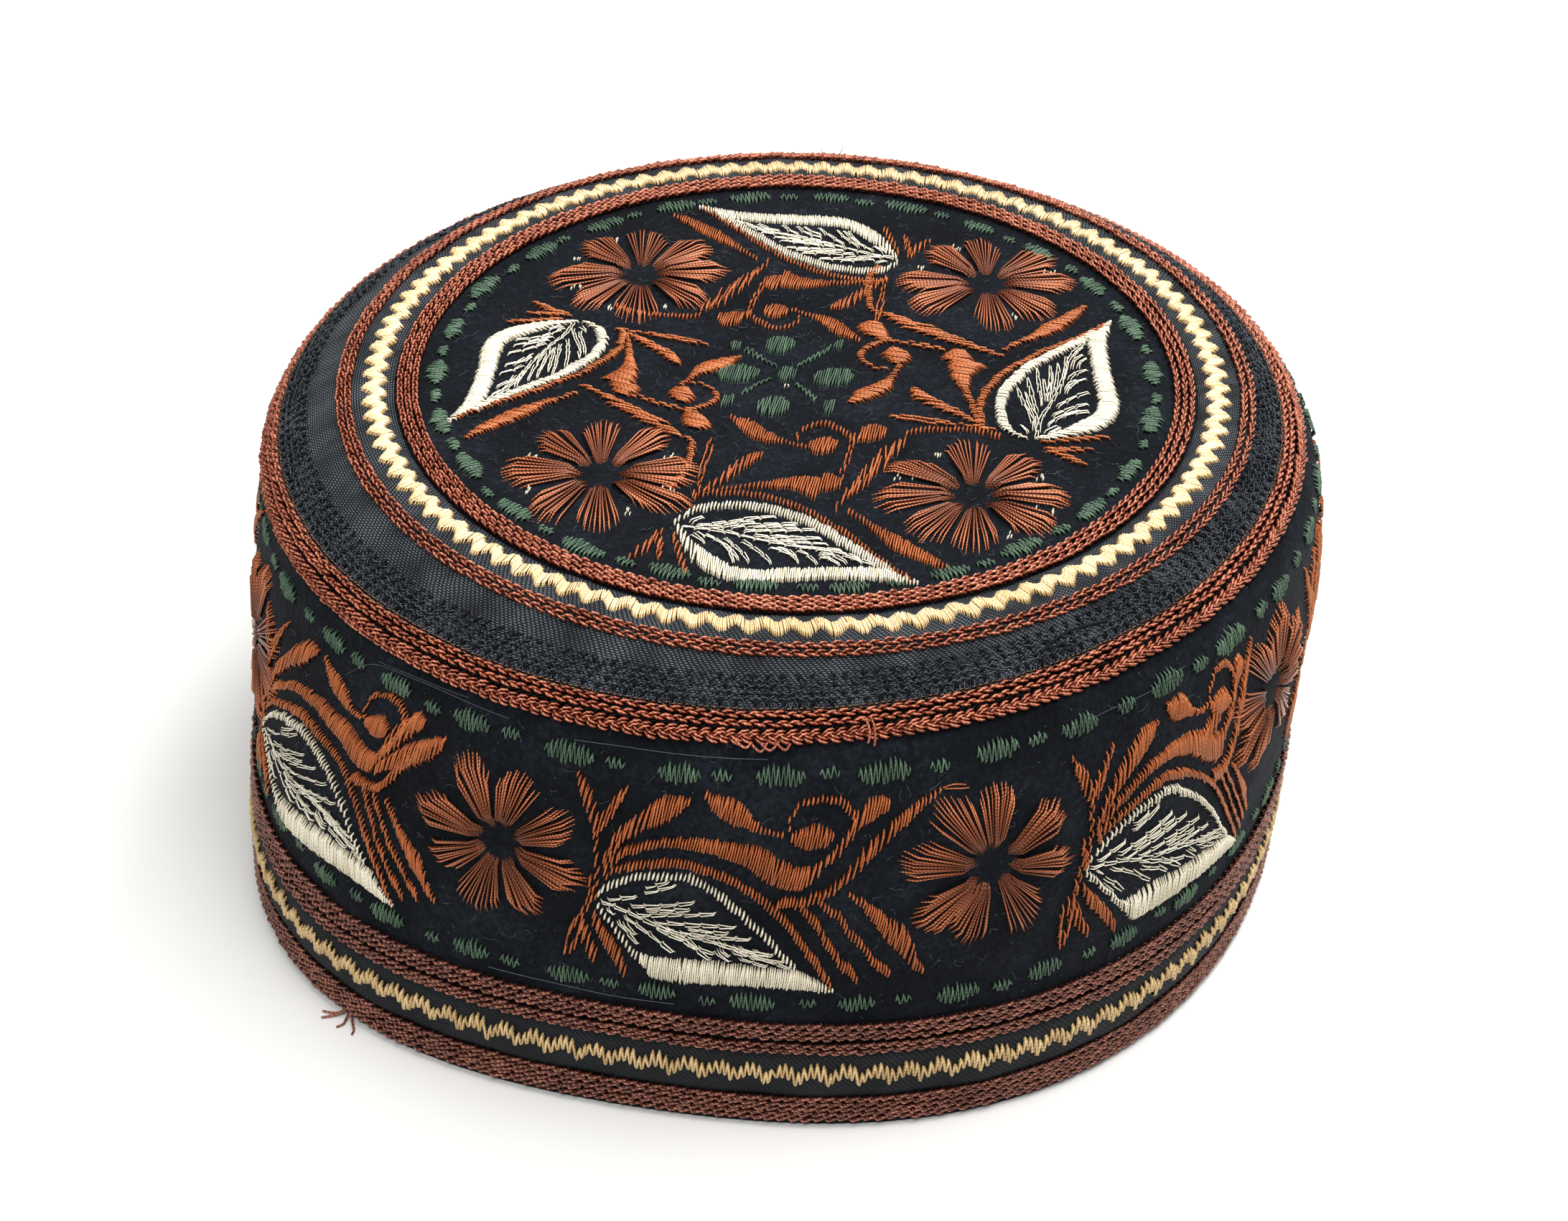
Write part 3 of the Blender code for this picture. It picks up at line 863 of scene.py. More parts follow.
def fitted(points, marks, places):
    # the smooth map that carries the pattern's marks to their places: affine for three marks, and bent
    # between more of them by a thin plate's own curve, distance squared times its logarithm
    named = [key for key in marks if key in places]
    old = np.array([marks[key] for key in named])
    new = np.array([places[key] for key in named])
    count = len(named)

    def bend(at):
        # the thin plate's curve from each mark
        square = ((at[:, None] - old[None]) ** 2).sum(2)
        return square * np.log(square + 1e-9)

    flat = np.hstack([old, np.ones((count, 1))])
    left = np.block([[bend(old), flat], [flat.T, np.zeros((3, 3))]])
    found = np.linalg.solve(left, np.vstack([new, np.zeros((3, 2))]))
    return bend(points) @ found[:count] + np.hstack([points, np.ones((len(points), 1))]) @ found[count:]


# The unit of the wall, drawn for the front: x from its middle, y the height
wallUnit = {
    "marks": {
        "base": (-22.9, 43.4), "tip": (14.7, 29.5), "ball": (10.5, 59.5), "longTip": (30.5, 66.7),
        "lowerTip": (28.9, 32.4), "lowerStart": (16.5, 48.9), "sprig": (-26.5, 66.3),
        "upperTip": (-8.3, 64.8), "smallTip": (-6.4, 66.4), "stem": (1.0, 55.8), "stemLow": (9.4, 52.0),
        "head": (19.4, 64.2),
        "corner": (-12.9, 31.5), "top": (-9.0, 50.8), "side": (1.5, 42.9), "footLeft": (-27.2, 31.0),
        "footRight": (-17.9, 29.8),
    },
    "lean": 80,
    "orange": (
        ((-24.0, 49.0, 1.6), (-23.4, 45.0, 2.0), (-24.8, 39.5, 2.0)),  # stem beside the flower
        ((-22.9, 44.0, 1.5), (-22.6, 50.0, 1.6), (-22.9, 54.0, 1.6), (-22.8, 57.0, 1.8)),
        ((-22.6, 57.0, 3.0), (-23.4, 59.0, 4.0), (-24.4, 61.5, 4.0), (-25.6, 64.0, 2.8), (-26.5, 66.3, 0.8)),
        ((-22.4, 57.5, 3.0), (-20.8, 60.8, 3.8), (-19.2, 63.8, 2.4), (-17.9, 65.7, 0.9)),
        ((-21.9, 50.5, 2.2), (-20.0, 54.5, 3.0), (-19.0, 56.8, 3.7), (-16.9, 58.8, 5.0), (-14.8, 60.8, 5.3),
         (-12.7, 62.3, 5.8), (-10.6, 63.3, 4.5), (-8.3, 64.8, 0.9)),  # upper leaf
        ((-22.0, 48.5, 1.8), (-19.0, 53.2, 2.4), (-16.3, 54.9, 2.0), (-13.7, 56.3, 1.9), (-10.6, 57.1, 2.0),
         (-5.3, 57.2, 3.0), (-2.1, 56.5, 3.7), (1.0, 55.8, 4.8), (3.1, 54.4, 5.8), (5.2, 53.0, 6.0),
         (7.3, 52.0, 5.4), (9.4, 52.0, 5.2), (11.0, 53.3, 3.4), (12.6, 55.5, 2.4), (14.2, 57.1, 3.0),
         (15.7, 59.4, 2.6), (16.8, 61.3, 3.2)),  # thick stem
        ((16.4, 61.4, 2.6), (17.8, 63.1, 4.7), (19.4, 64.2, 4.9), (21.0, 64.6, 3.8), (22.0, 64.8, 2.0)),
        ((-21.6, 48.0, 1.5), (-19.0, 50.5, 1.8), (-13.7, 52.6, 1.9), (-10.6, 53.3, 2.0), (-7.4, 53.2, 2.0),
         (-1.1, 50.8, 1.8), (4.7, 46.0, 1.8), (8.9, 40.2, 2.0), (12.6, 33.9, 2.2), (14.6, 30.0, 1.5)),  # arc
        ((-6.4, 66.4, 1.0), (-4.2, 64.5, 3.6), (-2.1, 63.7, 5.2), (0.0, 62.7, 4.0), (1.5, 61.5, 2.2),
         (3.6, 60.5, 1.0), (6.3, 60.2, 0.9)),
        ((6.5, 60.6, 1.2), (7.1, 63.4, 1.4), (8.1, 65.2, 1.4), (9.9, 66.0, 1.3), (12.6, 66.4, 1.3),
         (14.7, 65.7, 1.6), (16.0, 64.4, 1.8), (16.8, 62.0, 1.6)),  # curl
        ((6.7, 59.8, 1.0), (8.9, 59.6, 3.9), (10.5, 59.5, 5.1), (12.0, 59.6, 4.4), (13.1, 59.6, 2.4),
         (13.9, 59.6, 0.5)),  # ball
        ((9.9, 48.2, 1.2), (12.6, 49.2, 1.4), (14.7, 50.8, 2.2), (16.3, 52.7, 3.4), (17.8, 54.6, 3.8),
         (19.4, 57.0, 4.2), (20.5, 57.9, 4.0), (22.0, 59.8, 4.0), (23.6, 61.4, 3.5), (25.2, 62.6, 3.1),
         (26.8, 64.2, 2.2), (28.9, 65.6, 1.4), (30.5, 66.7, 0.6)),  # long leaf
        ((5.0, 46.2, 1.4), (6.3, 47.2, 2.4), (9.4, 47.4, 1.8), (12.0, 48.4, 1.4), (14.5, 50.0, 1.4)),
        ((8.9, 46.8, 1.8), (10.5, 44.5, 1.9), (12.0, 42.4, 2.0), (13.1, 39.7, 2.0), (14.7, 37.1, 2.0),
         (15.7, 35.0, 1.9), (17.3, 33.4, 2.3), (18.5, 31.3, 1.8)),  # sprays
        ((11.8, 48.1, 1.6), (13.1, 46.0, 1.7), (14.7, 45.0, 1.7), (15.7, 43.4, 1.8), (16.8, 41.3, 1.8),
         (18.4, 39.2, 1.7), (20.0, 36.8, 1.8), (21.0, 35.0, 1.8), (22.6, 33.4, 2.2), (23.6, 31.9, 1.6)),
        ((16.5, 48.9, 0.6), (18.9, 46.6, 2.0), (21.0, 43.9, 3.2), (23.1, 41.0, 5.0), (25.2, 38.7, 6.0),
         (26.2, 37.3, 4.8), (27.3, 34.5, 3.0), (28.9, 32.4, 0.8)),  # lower leaf
        ((-24.8, 39.5, 2.0), (-25.8, 37.0, 4.5), (-26.6, 34.0, 4.0), (-27.2, 31.0, 1.5)),
        ((-25.0, 38.5, 2.0), (-24.2, 35.0, 4.0), (-22.8, 31.5, 3.0)),
        ((-23.2, 40.6, 1.5), (-22.1, 37.6, 3.0), (-20.5, 35.0, 3.4), (-19.0, 32.4, 4.0), (-17.9, 29.8, 2.6)),
    ),
    "cream": (
        ((-22.9, 43.6, 1.4), (-22.1, 45.0, 1.7), (-20.0, 47.1, 1.8), (-17.4, 48.9, 1.7), (-14.8, 50.0, 1.7),
         (-11.6, 50.5, 1.6), (-9.0, 50.8, 1.7), (-6.4, 50.0, 1.7), (-3.7, 48.1, 1.8), (-1.1, 45.8, 1.7),
         (1.5, 42.9, 1.6), (4.2, 40.0, 1.5), (6.8, 36.3, 1.5), (8.9, 33.9, 1.7)),  # upper edge
        ((-22.6, 42.6, 1.2), (-20.5, 39.7, 1.2), (-19.0, 37.6, 1.3), (-16.9, 34.5, 1.7), (-15.6, 33.2, 2.1)),
    ),
    "creamBand": (
        ((-15.4, 33.0, 2.3), (-14.4, 32.4, 3.6), (-12.9, 31.5, 5.6), (-3.2, 31.6, 5.0), (5.2, 31.6, 4.6),
         (9.4, 31.4, 4.3), (12.0, 30.5, 2.5), (14.9, 29.5, 0.5)),  # wide lower edge
    ),
    "veins": (
        ((-22.0, 43.2), (-19.0, 42.9), (-16.3, 41.8), (-10.6, 39.7), (-3.7, 38.4), (3.1, 36.0), (8.4, 33.9)),
        ((-21.0, 43.9), (-16.0, 45.6)),
        ((-15.3, 46.5), (-12.6, 47.6), (-10.0, 49.1)),
        ((-17.4, 43.4), (-12.6, 44.4), (-7.0, 46.1)),
        ((-16.3, 41.9), (-10.6, 43.0), (-3.6, 44.3)),
        ((-13.7, 41.0), (-7.4, 41.5), (-0.5, 41.9)),
        ((-9.6, 39.7), (-3.2, 39.5), (1.9, 39.6)),
        ((-4.3, 38.4), (0.0, 37.4), (4.8, 36.6)),
        ((-1.1, 36.9), (3.1, 35.8), (7.4, 35.3)),
        ((-20.8, 42.2), (-19.6, 41.0)),
        ((-19.3, 40.0), (-17.4, 38.1), (-15.6, 35.8)),
        ((-18.2, 41.3), (-14.8, 39.2), (-12.7, 37.4), (-10.1, 35.2)),
        ((-13.2, 40.2), (-10.6, 38.7), (-8.5, 38.1), (-5.8, 36.0), (-4.3, 34.6)),
        ((-8.4, 37.6), (-5.8, 36.6), (-3.5, 36.0)),
        ((-3.7, 36.6), (-1.1, 34.4)),
        ((0.0, 35.6), (4.7, 34.2)),
    ),
}

# Each unit's middle angle, and where the pattern's marks fall from there. Those with three marks repeat the
# front one.
wallUnits = (
    (-138.3, {"base": (-25.5, 37.0), "tip": (16.3, 28.9), "ball": (9.4, 59.5), "longTip": (23.8, 63.9),
              "lowerTip": (23.9, 33.7), "lowerStart": (13.3, 47.9), "sprig": (-29.0, 59.5),
              "upperTip": (-7.3, 63.6), "smallTip": (-5.5, 63.9), "stem": (2.0, 54.6), "stemLow": (9.3, 52.9),
              "head": (17.5, 64.2), "corner": (-12.4, 28.9), "top": (-9.5, 47.8), "side": (1.0, 44.1),
              "footLeft": (-28.5, 27.0), "footRight": (-20.0, 27.5)}),
    (-92.9, {"base": (-22.9, 43.4), "tip": (14.7, 29.5), "ball": (10.5, 59.5)}),
    (-48.8, {"base": (-15.8, 44.7), "tip": (24.0, 28.3), "ball": (13.3, 62.7), "longTip": (22.3, 70.0),
             "lowerTip": (26.4, 33.7), "lowerStart": (18.1, 48.1), "sprig": (-19.3, 66.6),
             "upperTip": (-2.3, 66.5), "smallTip": (-0.5, 68.4), "stem": (4.6, 59.5), "stemLow": (12.6, 55.0),
             "head": (17.8, 66.2), "corner": (-4.6, 31.9), "top": (-0.3, 53.0), "side": (11.7, 43.4),
             "footLeft": (-19.3, 30.8), "footRight": (-8.7, 30.2)}),
    (-6.0, {"base": (-17.0, 44.5), "tip": (21.0, 29.5), "ball": (12.5, 61.5)}),
    (40.0, {"base": (-20.5, 43.5), "tip": (17.0, 29.5), "ball": (11.5, 60.5)}),
    (85.0, {"base": (-22.0, 43.0), "tip": (15.5, 29.5), "ball": (11.0, 60.0)}),
    (130.0, {"base": (-22.5, 42.0), "tip": (15.5, 29.0), "ball": (10.5, 59.0)}),
    (176.5, {"base": (-22.0, 40.0), "tip": (16.0, 28.5), "ball": (10.0, 58.5)}),
)
# broader strokes that two of the units have besides, from the unit's middle
wallExtras = {
    -138.3: (((11.0, 55.0, 3.4), (13.2, 58.6, 5.4), (15.4, 61.6, 6.2), (17.8, 64.2, 4.8)),
             ((10.6, 52.6, 2.4), (13.6, 55.4, 4.6), (17.0, 58.0, 5.8), (20.4, 60.4, 5.2), (23.4, 63.0, 3.0))),
    -48.8: (((8.0, 57.6, 5.4), (10.6, 59.8, 6.0), (13.0, 62.4, 5.6)),),
}
wallFlowers = ((-159.7, 49.2), (-117.0, 49.8), (-68.8, 51.2), (-29.5, 55.0), (17.5, 53.0), (62.0, 52.0),
               (107.0, 51.0), (152.0, 50.0))
wallRadius = 92.8  # turns the pattern's x into an angle

# The quarter of the crown, drawn for the front, and where its marks fall in each quarter
crownQuarter = {
    "marks": {"base": (-18.2, -44.0), "tip": (20.3, -57.9), "ball": (5.0, -21.2), "inner": (-3.0, -38.6)},
    "lean": 81,
    "orange": (
        ((-19.9, -46.0, 1.5), (-21.2, -49.0, 3.6), (-22.8, -51.0, 3.4), (-24.4, -53.2, 1.2)),  # sprig
        ((-20.0, -47.5, 1.5), (-19.8, -50.5, 2.6), (-19.5, -54.0, 1.4)),
        ((-18.2, -46.0, 1.2), (-16.8, -51.5, 2.6), (-15.4, -56.6, 2.0)),
        ((-15.4, -37.2, 2.2), (-14.5, -33.0, 1.4), (-14.2, -28.0, 2.6), (-13.6, -23.5, 3.0),
         (-13.5, -20.3, 1.2)),
        ((-14.1, -35.0, 1.2), (-11.3, -31.5, 3.6), (-8.5, -27.4, 5.4), (-6.4, -25.4, 3.6),
         (-4.4, -24.0, 1.0)),
        ((-15.2, -36.2, 1.6), (-13.8, -35.2, 0.9), (-9.2, -34.0, 1.1), (-4.1, -32.7, 1.9), (-1.5, -32.2, 3.1),
         (1.0, -32.0, 4.6), (3.6, -32.8, 6.7), (4.4, -33.4, 7.2)),  # thick stroke over the leaf
        ((4.8, -31.6, 6.6), (6.0, -31.4, 6.0), (7.9, -31.6, 3.0)),
        ((-14.3, -35.8, 1.2), (-11.3, -35.3, 1.3), (-7.2, -35.3, 1.4), (-3.1, -36.4, 1.5), (0.5, -38.2, 1.6),
         (3.6, -40.2, 1.6), (6.2, -43.0, 1.7), (9.2, -45.8, 1.7), (11.8, -49.2, 1.7), (14.4, -52.3, 1.6),
         (17.0, -55.3, 1.5), (19.3, -57.4, 1.2)),  # line along the leaf
        ((6.8, -39.6, 1.0), (7.7, -37.4, 2.0), (8.9, -35.0, 2.4), (9.6, -32.8, 3.0)),
        ((9.0, -34.0, 3.0), (10.3, -32.4, 4.4), (11.3, -30.5, 5.4), (12.8, -27.6, 6.2), (14.4, -25.3, 6.4),
         (15.4, -22.6, 5.0), (16.9, -21.0, 4.8), (18.3, -18.9, 2.4)),  # upright leaf
        ((17.8, -17.6, 1.6), (20.0, -16.0, 1.3), (24.1, -15.6, 1.2), (28.2, -15.4, 1.2), (31.4, -16.0, 1.5),
         (34.0, -17.4, 1.6)),  # stem to the next quarter
        ((9.0, -39.2, 1.2), (11.3, -41.5, 1.6), (13.3, -44.0, 2.2), (15.4, -46.2, 3.8), (16.9, -47.6, 4.4),
         (18.5, -48.9, 4.2), (20.5, -50.7, 3.6), (22.6, -52.3, 2.4), (24.9, -53.8, 0.8)),
        ((-10.5, -13.5, 0.8), (-8.2, -15.6, 3.6), (-6.7, -16.8, 5.2), (-4.6, -18.8, 3.8), (-2.6, -20.0, 2.0),
         (0.0, -21.0, 1.0), (2.4, -21.8, 0.9)),
        ((0.5, -19.9, 1.2), (1.0, -17.4, 1.5), (2.6, -15.6, 1.5), (4.6, -14.8, 1.2), (6.7, -15.6, 1.5),
         (8.5, -17.4, 1.7), (9.5, -19.5, 1.7), (9.0, -24.6, 1.9), (8.2, -27.6, 1.9),
         (7.9, -30.0, 1.4)),  # curl
        ((2.6, -20.9, 1.4), (3.7, -21.0, 4.6), (5.0, -21.1, 5.8), (6.2, -21.0, 4.8),
         (7.2, -20.8, 1.8)),  # ball
        ((9.6, -19.8, 1.2), (10.8, -17.6, 4.4), (12.8, -16.8, 6.2), (14.2, -16.6, 4.8), (15.1, -16.9, 2.2)),
    ),
    "cream": (
        ((-18.0, -43.6, 1.6), (-14.9, -40.0, 2.2), (-11.3, -38.9, 2.0), (-7.2, -38.6, 2.1),
         (-3.1, -39.2, 2.3), (0.5, -41.0, 2.4), (4.1, -43.2, 2.5), (7.2, -46.2, 2.6),
         (10.3, -49.4, 2.6), (13.3, -52.5, 2.6),
         (16.2, -55.4, 2.6)),
    ),
    "creamBand": (
        ((-17.6, -44.6, 1.6), (-16.3, -47.6, 3.6), (-14.8, -50.6, 5.0), (-12.6, -53.3, 5.8),
         (-10.4, -55.2, 5.2), (-8.0, -56.6, 4.1), (-4.1, -57.0, 3.9),
         (1.0, -56.4, 3.6), (6.2, -55.9, 3.5), (11.3, -55.6, 3.6),
         (14.4, -55.8, 3.4), (17.5, -57.0, 1.8), (20.3, -58.0, 0.5)),
    ),
    "veins": (
        ((-17.0, -44.8), (-11.3, -45.4), (-7.2, -46.9), (0.0, -49.0), (7.7, -50.4), (11.3, -52.4),
         (13.6, -53.6)),
        ((-15.6, -43.6), (-13.2, -42.0)),
        ((-14.6, -44.4), (-10.8, -43.9), (-8.2, -42.8), (-3.6, -41.6), (-1.8, -41.4)),
        ((-9.4, -44.8), (-4.6, -43.9), (1.5, -43.1)),
        ((-7.2, -45.6), (-2.1, -45.2), (4.4, -44.7)),
        ((-5.6, -46.7), (0.0, -47.1), (5.4, -47.1)),
        ((-4.0, -47.6), (1.2, -48.2), (6.4, -48.4)),
        ((1.0, -49.2), (5.2, -49.8), (8.6, -50.0)),
        ((-15.4, -46.2), (-12.8, -48.8)),
        ((-13.2, -46.6), (-10.2, -48.8), (-8.8, -51.4), (-8.2, -53.8)),
        ((-10.2, -47.4), (-7.2, -51.0), (-5.9, -53.8)),
        ((-7.4, -48.0), (-4.1, -51.2), (-2.4, -54.0)),
        ((-3.1, -49.7), (-0.5, -50.6), (1.2, -52.2), (1.8, -53.6)),
        ((1.2, -50.2), (3.6, -51.8), (4.6, -53.8)),
        ((4.6, -50.8), (7.7, -51.4), (9.2, -53.2)),
        ((8.2, -51.2), (10.8, -52.2), (11.6, -53.2)),
    ),
}
crownQuarters = (
    {"base": (-18.2, -44.0), "tip": (20.3, -57.9), "ball": (5.0, -21.2), "inner": (-3.0, -38.6)},
    {"base": (38.7, -18.5), "tip": (53.5, 19.5), "ball": (17.0, 6.4), "inner": (34.2, -3.0)},
    {"base": (17.5, 38.0), "tip": (-19.5, 55.5), "ball": (-4.1, 20.3), "inner": (4.0, 35.2)},
    {"base": (-37.7, 15.2), "tip": (-56.3, -17.3), "ball": (-19.0, -7.2), "inner": (-33.8, 4.0)},
)
crownFlowers = ((-30.5, -30.6), (29.0, -33.8), (32.6, 31.3), (-28.2, 31.3))

# shine is painted light along a stitch: low values paint shade, high ones a highlight
stitchLook = {
    "orange": {"width": 0.22, "lift": 0.5, "pitch": 0.42, "thread": orangeThread, "slot": "rust_thread"},
    "cream": {"width": 0.21, "lift": 0.5, "pitch": 0.44, "thread": creamThread, "slot": "gold_thread"},
    "creamBand": {"pitch": 0.34, "turn": 6},  # sewn with the cream, closer and more upright
    "vein": {"width": 0.12, "lift": 0.42, "long": 2.5, "shine": (0.7, 1.1, 1.3, 1.0),
             "thread": creamThread, "slot": "gold_thread"},
    "petal": {"width": 0.22, "lift": 0.7, "vary": 0.45, "flat": 1.0, "shine": (0.0, 0.35, 1.1, 0.8),
              "thread": rustFlowerThread, "slot": "rust_thread"},
    "crownPetal": {"width": 0.21, "lift": 0.65, "vary": 0.45, "flat": 1.0, "shine": (0.0, 0.3, 1.1, 0.8),
                   "thread": rustFlowerThread, "slot": "rust_thread"},
    "green": {"width": 0.2, "lift": 0.4, "pitch": 0.34, "thread": greenThread, "slot": "black_velvet"},
    "speck": {"width": 0.15, "lift": 0.4, "thread": creamThread, "slot": "gold_thread"},
}


def wallPlace(x, height, lift):
    # x is the angle in degrees times the pattern radius, already measured from +X
    return onCap(x / wallRadius, runAtHeight(height), lift)


def unitStitches(pattern, key, carry, rng):
    # every stroke of one thread in a pattern, carried to its place
    look = stitchLook[key]
    lean = pattern["lean"] + look.get("turn", 0)
    pairs = [satinStroke(rows, lean, look["pitch"], rng) for rows in pattern[key]]
    return carry(np.concatenate([p[0] for p in pairs])), carry(np.concatenate([p[1] for p in pairs]))


def veinStitches(pattern, carry, rng):
    # every other side vein has a shorter one beside it
    lines = [np.array(rows) for rows in pattern["veins"]]
    for rows in lines[2::2]:
        along = rows[-1] - rows[0]
        beside = np.array((-along[1], along[0])) / np.hypot(*along) * rng.choice((-0.9, 0.9))
        lines.append(rows[0] + along * 0.12 + beside + (rows - rows[0]) * rng.uniform(0.55, 0.8))
    pairs = [runningStitches(rows, stitchLook["vein"]["long"], rng) for rows in lines]
    return carry(np.concatenate([p[0] for p in pairs])), carry(np.concatenate([p[1] for p in pairs]))


petalLook = {
    "petals": 8,
    "threads": 12,
    "base": 2.4,
    "wallReach": 15.6,
    "wallTurn": -8,  # degrees from a petal that points along the band
    "crownReach": 16.6,
    "halfSpread": 15.8,  # degrees to each side of a petal's middle, seen from the flower's centre
    "round": 0.17,
}


def flowerThreads(reach, turn, rng):
    # each petal is a fan of straight threads whose tips make a ragged round end
    starts, ends = [], []
    for petal in range(petalLook["petals"]):
        middle = turn + 2 * math.pi / petalLook["petals"] * petal + rng.normal(0, 0.06)
        across = np.linspace(-1, 1, petalLook["threads"])
        angle = middle + across * math.radians(petalLook["halfSpread"]) * rng.uniform(0.85, 1.15)
        angle = angle + rng.normal(0, 0.012, len(across))
        shape = 1 - petalLook["round"] * across**2 + rng.normal(0, 0.09) * across
        far = reach * rng.uniform(0.94, 1.04) * shape + rng.normal(0, 0.3, len(across))
        near = petalLook["base"] + 0.8 * across**2 + rng.normal(0, 0.2, len(across))
        nearAngle = middle + across * 0.26
        starts.append(np.stack([near * np.cos(nearAngle), near * np.sin(nearAngle)], axis=1))
        ends.append(np.stack([far * np.cos(angle), far * np.sin(angle)], axis=1))
    return np.concatenate(starts), np.concatenate(ends)


def embroideryPiece(name, stitches, place, key, seed):
    # lays all the stitches of one thread and makes them one piece
    look = stitchLook[key]
    starts, ends = (np.concatenate(side) for side in zip(*stitches))
    laid = layStitches(place, starts, ends, look, np.random.default_rng(seed))
    threadPiece(name, [laid], look["thread"], seed + 1)


def sewUnits(side, pattern, units, place, seed):
    # sews a pattern once for each unit, which is its middle, the places of its marks and its extra strokes,
    # and joins the stitches of all the units by their thread
    orange, cream, veins = [], [], []
    for number, (middle, places, extras) in enumerate(units):
        rng = np.random.default_rng(seed + number)

        def carry(points):
            # from the pattern's place to the unit's
            return fitted(points, pattern["marks"], places) + middle

        orange.append(unitStitches(pattern, "orange", carry, rng))
        for rows in extras:
            low, high = satinStroke(rows, pattern["lean"], stitchLook["orange"]["pitch"], rng)
            orange.append((low + middle, high + middle))
        cream.append(unitStitches(pattern, "cream", carry, rng))
        cream.append(unitStitches(pattern, "creamBand", carry, rng))
        veins.append(veinStitches(pattern, carry, rng))
    embroideryPiece(side + "OrangeSprays", orange, place, "orange", seed + 10)
    embroideryPiece(side + "CreamLeaves", cream, place, "cream", seed + 20)
    embroideryPiece(side + "CreamVeins", veins, place, "vein", seed + 30)


def wallEmbroidery():
    # eight units and, between them, eight flowers
    units = [((math.radians(angle) * wallRadius, 0), places, wallExtras.get(angle, ()))
             for angle, places in wallUnits]
    sewUnits("wall", wallUnit, units, wallPlace, 500)
    flowers = []
    for number, (angle, height) in enumerate(wallFlowers):
        rng = np.random.default_rng(540 + number)
        turn = math.radians(petalLook["wallTurn"] + rng.normal(0, 3))
        starts, ends = flowerThreads(petalLook["wallReach"], turn, rng)
        centre = np.array([math.radians(angle) * wallRadius, height])
        flowers.append((starts + centre, ends + centre))
    embroideryPiece("wallFlowers", flowers, wallPlace, "petal", 550)


speckLook = {
    "gaps": 5,  # gaps between a flower's petals that have specks
    "each": 4,
    "radius": 12.0,
    "half": (0.1, 0.32),
    "centre": (((-1.9, -3.9), (-1.2, -3.8)), ((-1.7, -3.3), (-1.3, -3.3))),  # two in the green motif
}


def crownEmbroidery():
    # four quarters, four flowers, and white specks of the ground thread between the petals' tips
    sewUnits("crown", crownQuarter, [((0, 0), places, ()) for places in crownQuarters], onCrown, 600)
    petals = petalLook["petals"]
    flowers, specks = [], []
    for number, centre in enumerate(crownFlowers):
        rng = np.random.default_rng(640 + number)
        turn = math.radians(rng.normal(0, 4))
        starts, ends = flowerThreads(petalLook["crownReach"], turn, rng)
        flowers.append((starts + centre, ends + centre))
        chosen = np.repeat(rng.choice(petals, speckLook["gaps"], replace=False), speckLook["each"])
        gap = turn + 2 * math.pi / petals * (chosen + 0.5)
        radius = speckLook["radius"] + rng.normal(0, 0.5, len(gap))
        spot = np.stack([radius * np.cos(gap), radius * np.sin(gap)], axis=1)
        spot = spot + rng.normal(0, 0.35, (len(gap), 2)) + centre
        specks.append((spot - speckLook["half"], spot + speckLook["half"]))
    specks.append(tuple(np.array(points) for points in speckLook["centre"]))
    embroideryPiece("crownFlowers", flowers, onCrown, "crownPetal", 650)
    embroideryPiece("whiteThreadSpecks", specks, onCrown, "speck", 660)


# Green thread: dots in rows along the wall and round the crown, and the motif in its middle
greenLook = {
    "topRow": {"run": 69.6, "sway": 1.0, "pairs": 35, "long": 7.2, "tall": 4.5, "shift": 5.0},
    "lowRow": {"run": 26.6, "sway": 0.0, "pairs": 38, "long": 6.4, "tall": 4.2, "shift": 9.0},
    "crownRow": {"share": 0.6645, "sway": 0.0, "pairs": 26, "long": 7.2, "tall": 4.2, "shift": 3.0},
    "small": 0.45,  # the dots between are this much of the large ones
}


def zigzagDot(at, long, tall, rng):
    # one thread up and down inside an oval, its strokes leaning in turn
    count = max(3, int(long / stitchLook["green"]["pitch"]))
    x = np.linspace(-0.5, 0.5, count) * long
    half = tall / 2 * np.sqrt(np.clip(1.06 - (2 * x / long) ** 2, 0.05, 1)) * rng.uniform(0.7, 1.12, count)
    side = np.where(np.arange(count) % 2 == 0, -1, 1)
    peaks = np.stack([at + x, side * half], axis=1) + rng.normal(0, 0.05, (count, 2))
    return peaks[:-1], peaks[1:]


def greenRow(name, look, place, rng, seed):
    # large and small dots in turn along a row round the cap
    total = place.length[-1]
    stitches = []
    for number in range(2 * look["pairs"]):
        size = 1.0 if number % 2 == 0 else greenLook["small"]
        size = size * rng.uniform(0.85, 1.12)
        at = look["shift"] + number * total / (2 * look["pairs"]) + rng.normal(0, 0.5)
        starts, ends = zigzagDot(at, look["long"] * size, look["tall"] * size ** 0.7, rng)
        offset = (0, rng.normal(0, 0.3))
        stitches.append((starts + offset, ends + offset))
    embroideryPiece(name, stitches, place, "green", seed)


def zigzagLine(rows, pitch, rng):
    # one thread up and down along a line, its turns half the given width above and below it
    line = smoothLine(rows, 0.1)
    run = np.concatenate([[0], np.cumsum(np.hypot(*np.diff(line[:, :2], axis=0).T))])
    at = np.arange(0, run[-1], pitch)
    middle = np.stack([np.interp(at, run, line[:, c]) for c in range(3)], axis=1)
    side = np.where(np.arange(len(at)) % 2 == 0, -0.5, 0.5)[:, None] * rng.uniform(0.7, 1.1, (len(at), 1))
    peaks = middle[:, :2] + side * middle[:, 2:3] * (0.14, 0.99)
    return peaks[:-1], peaks[1:]


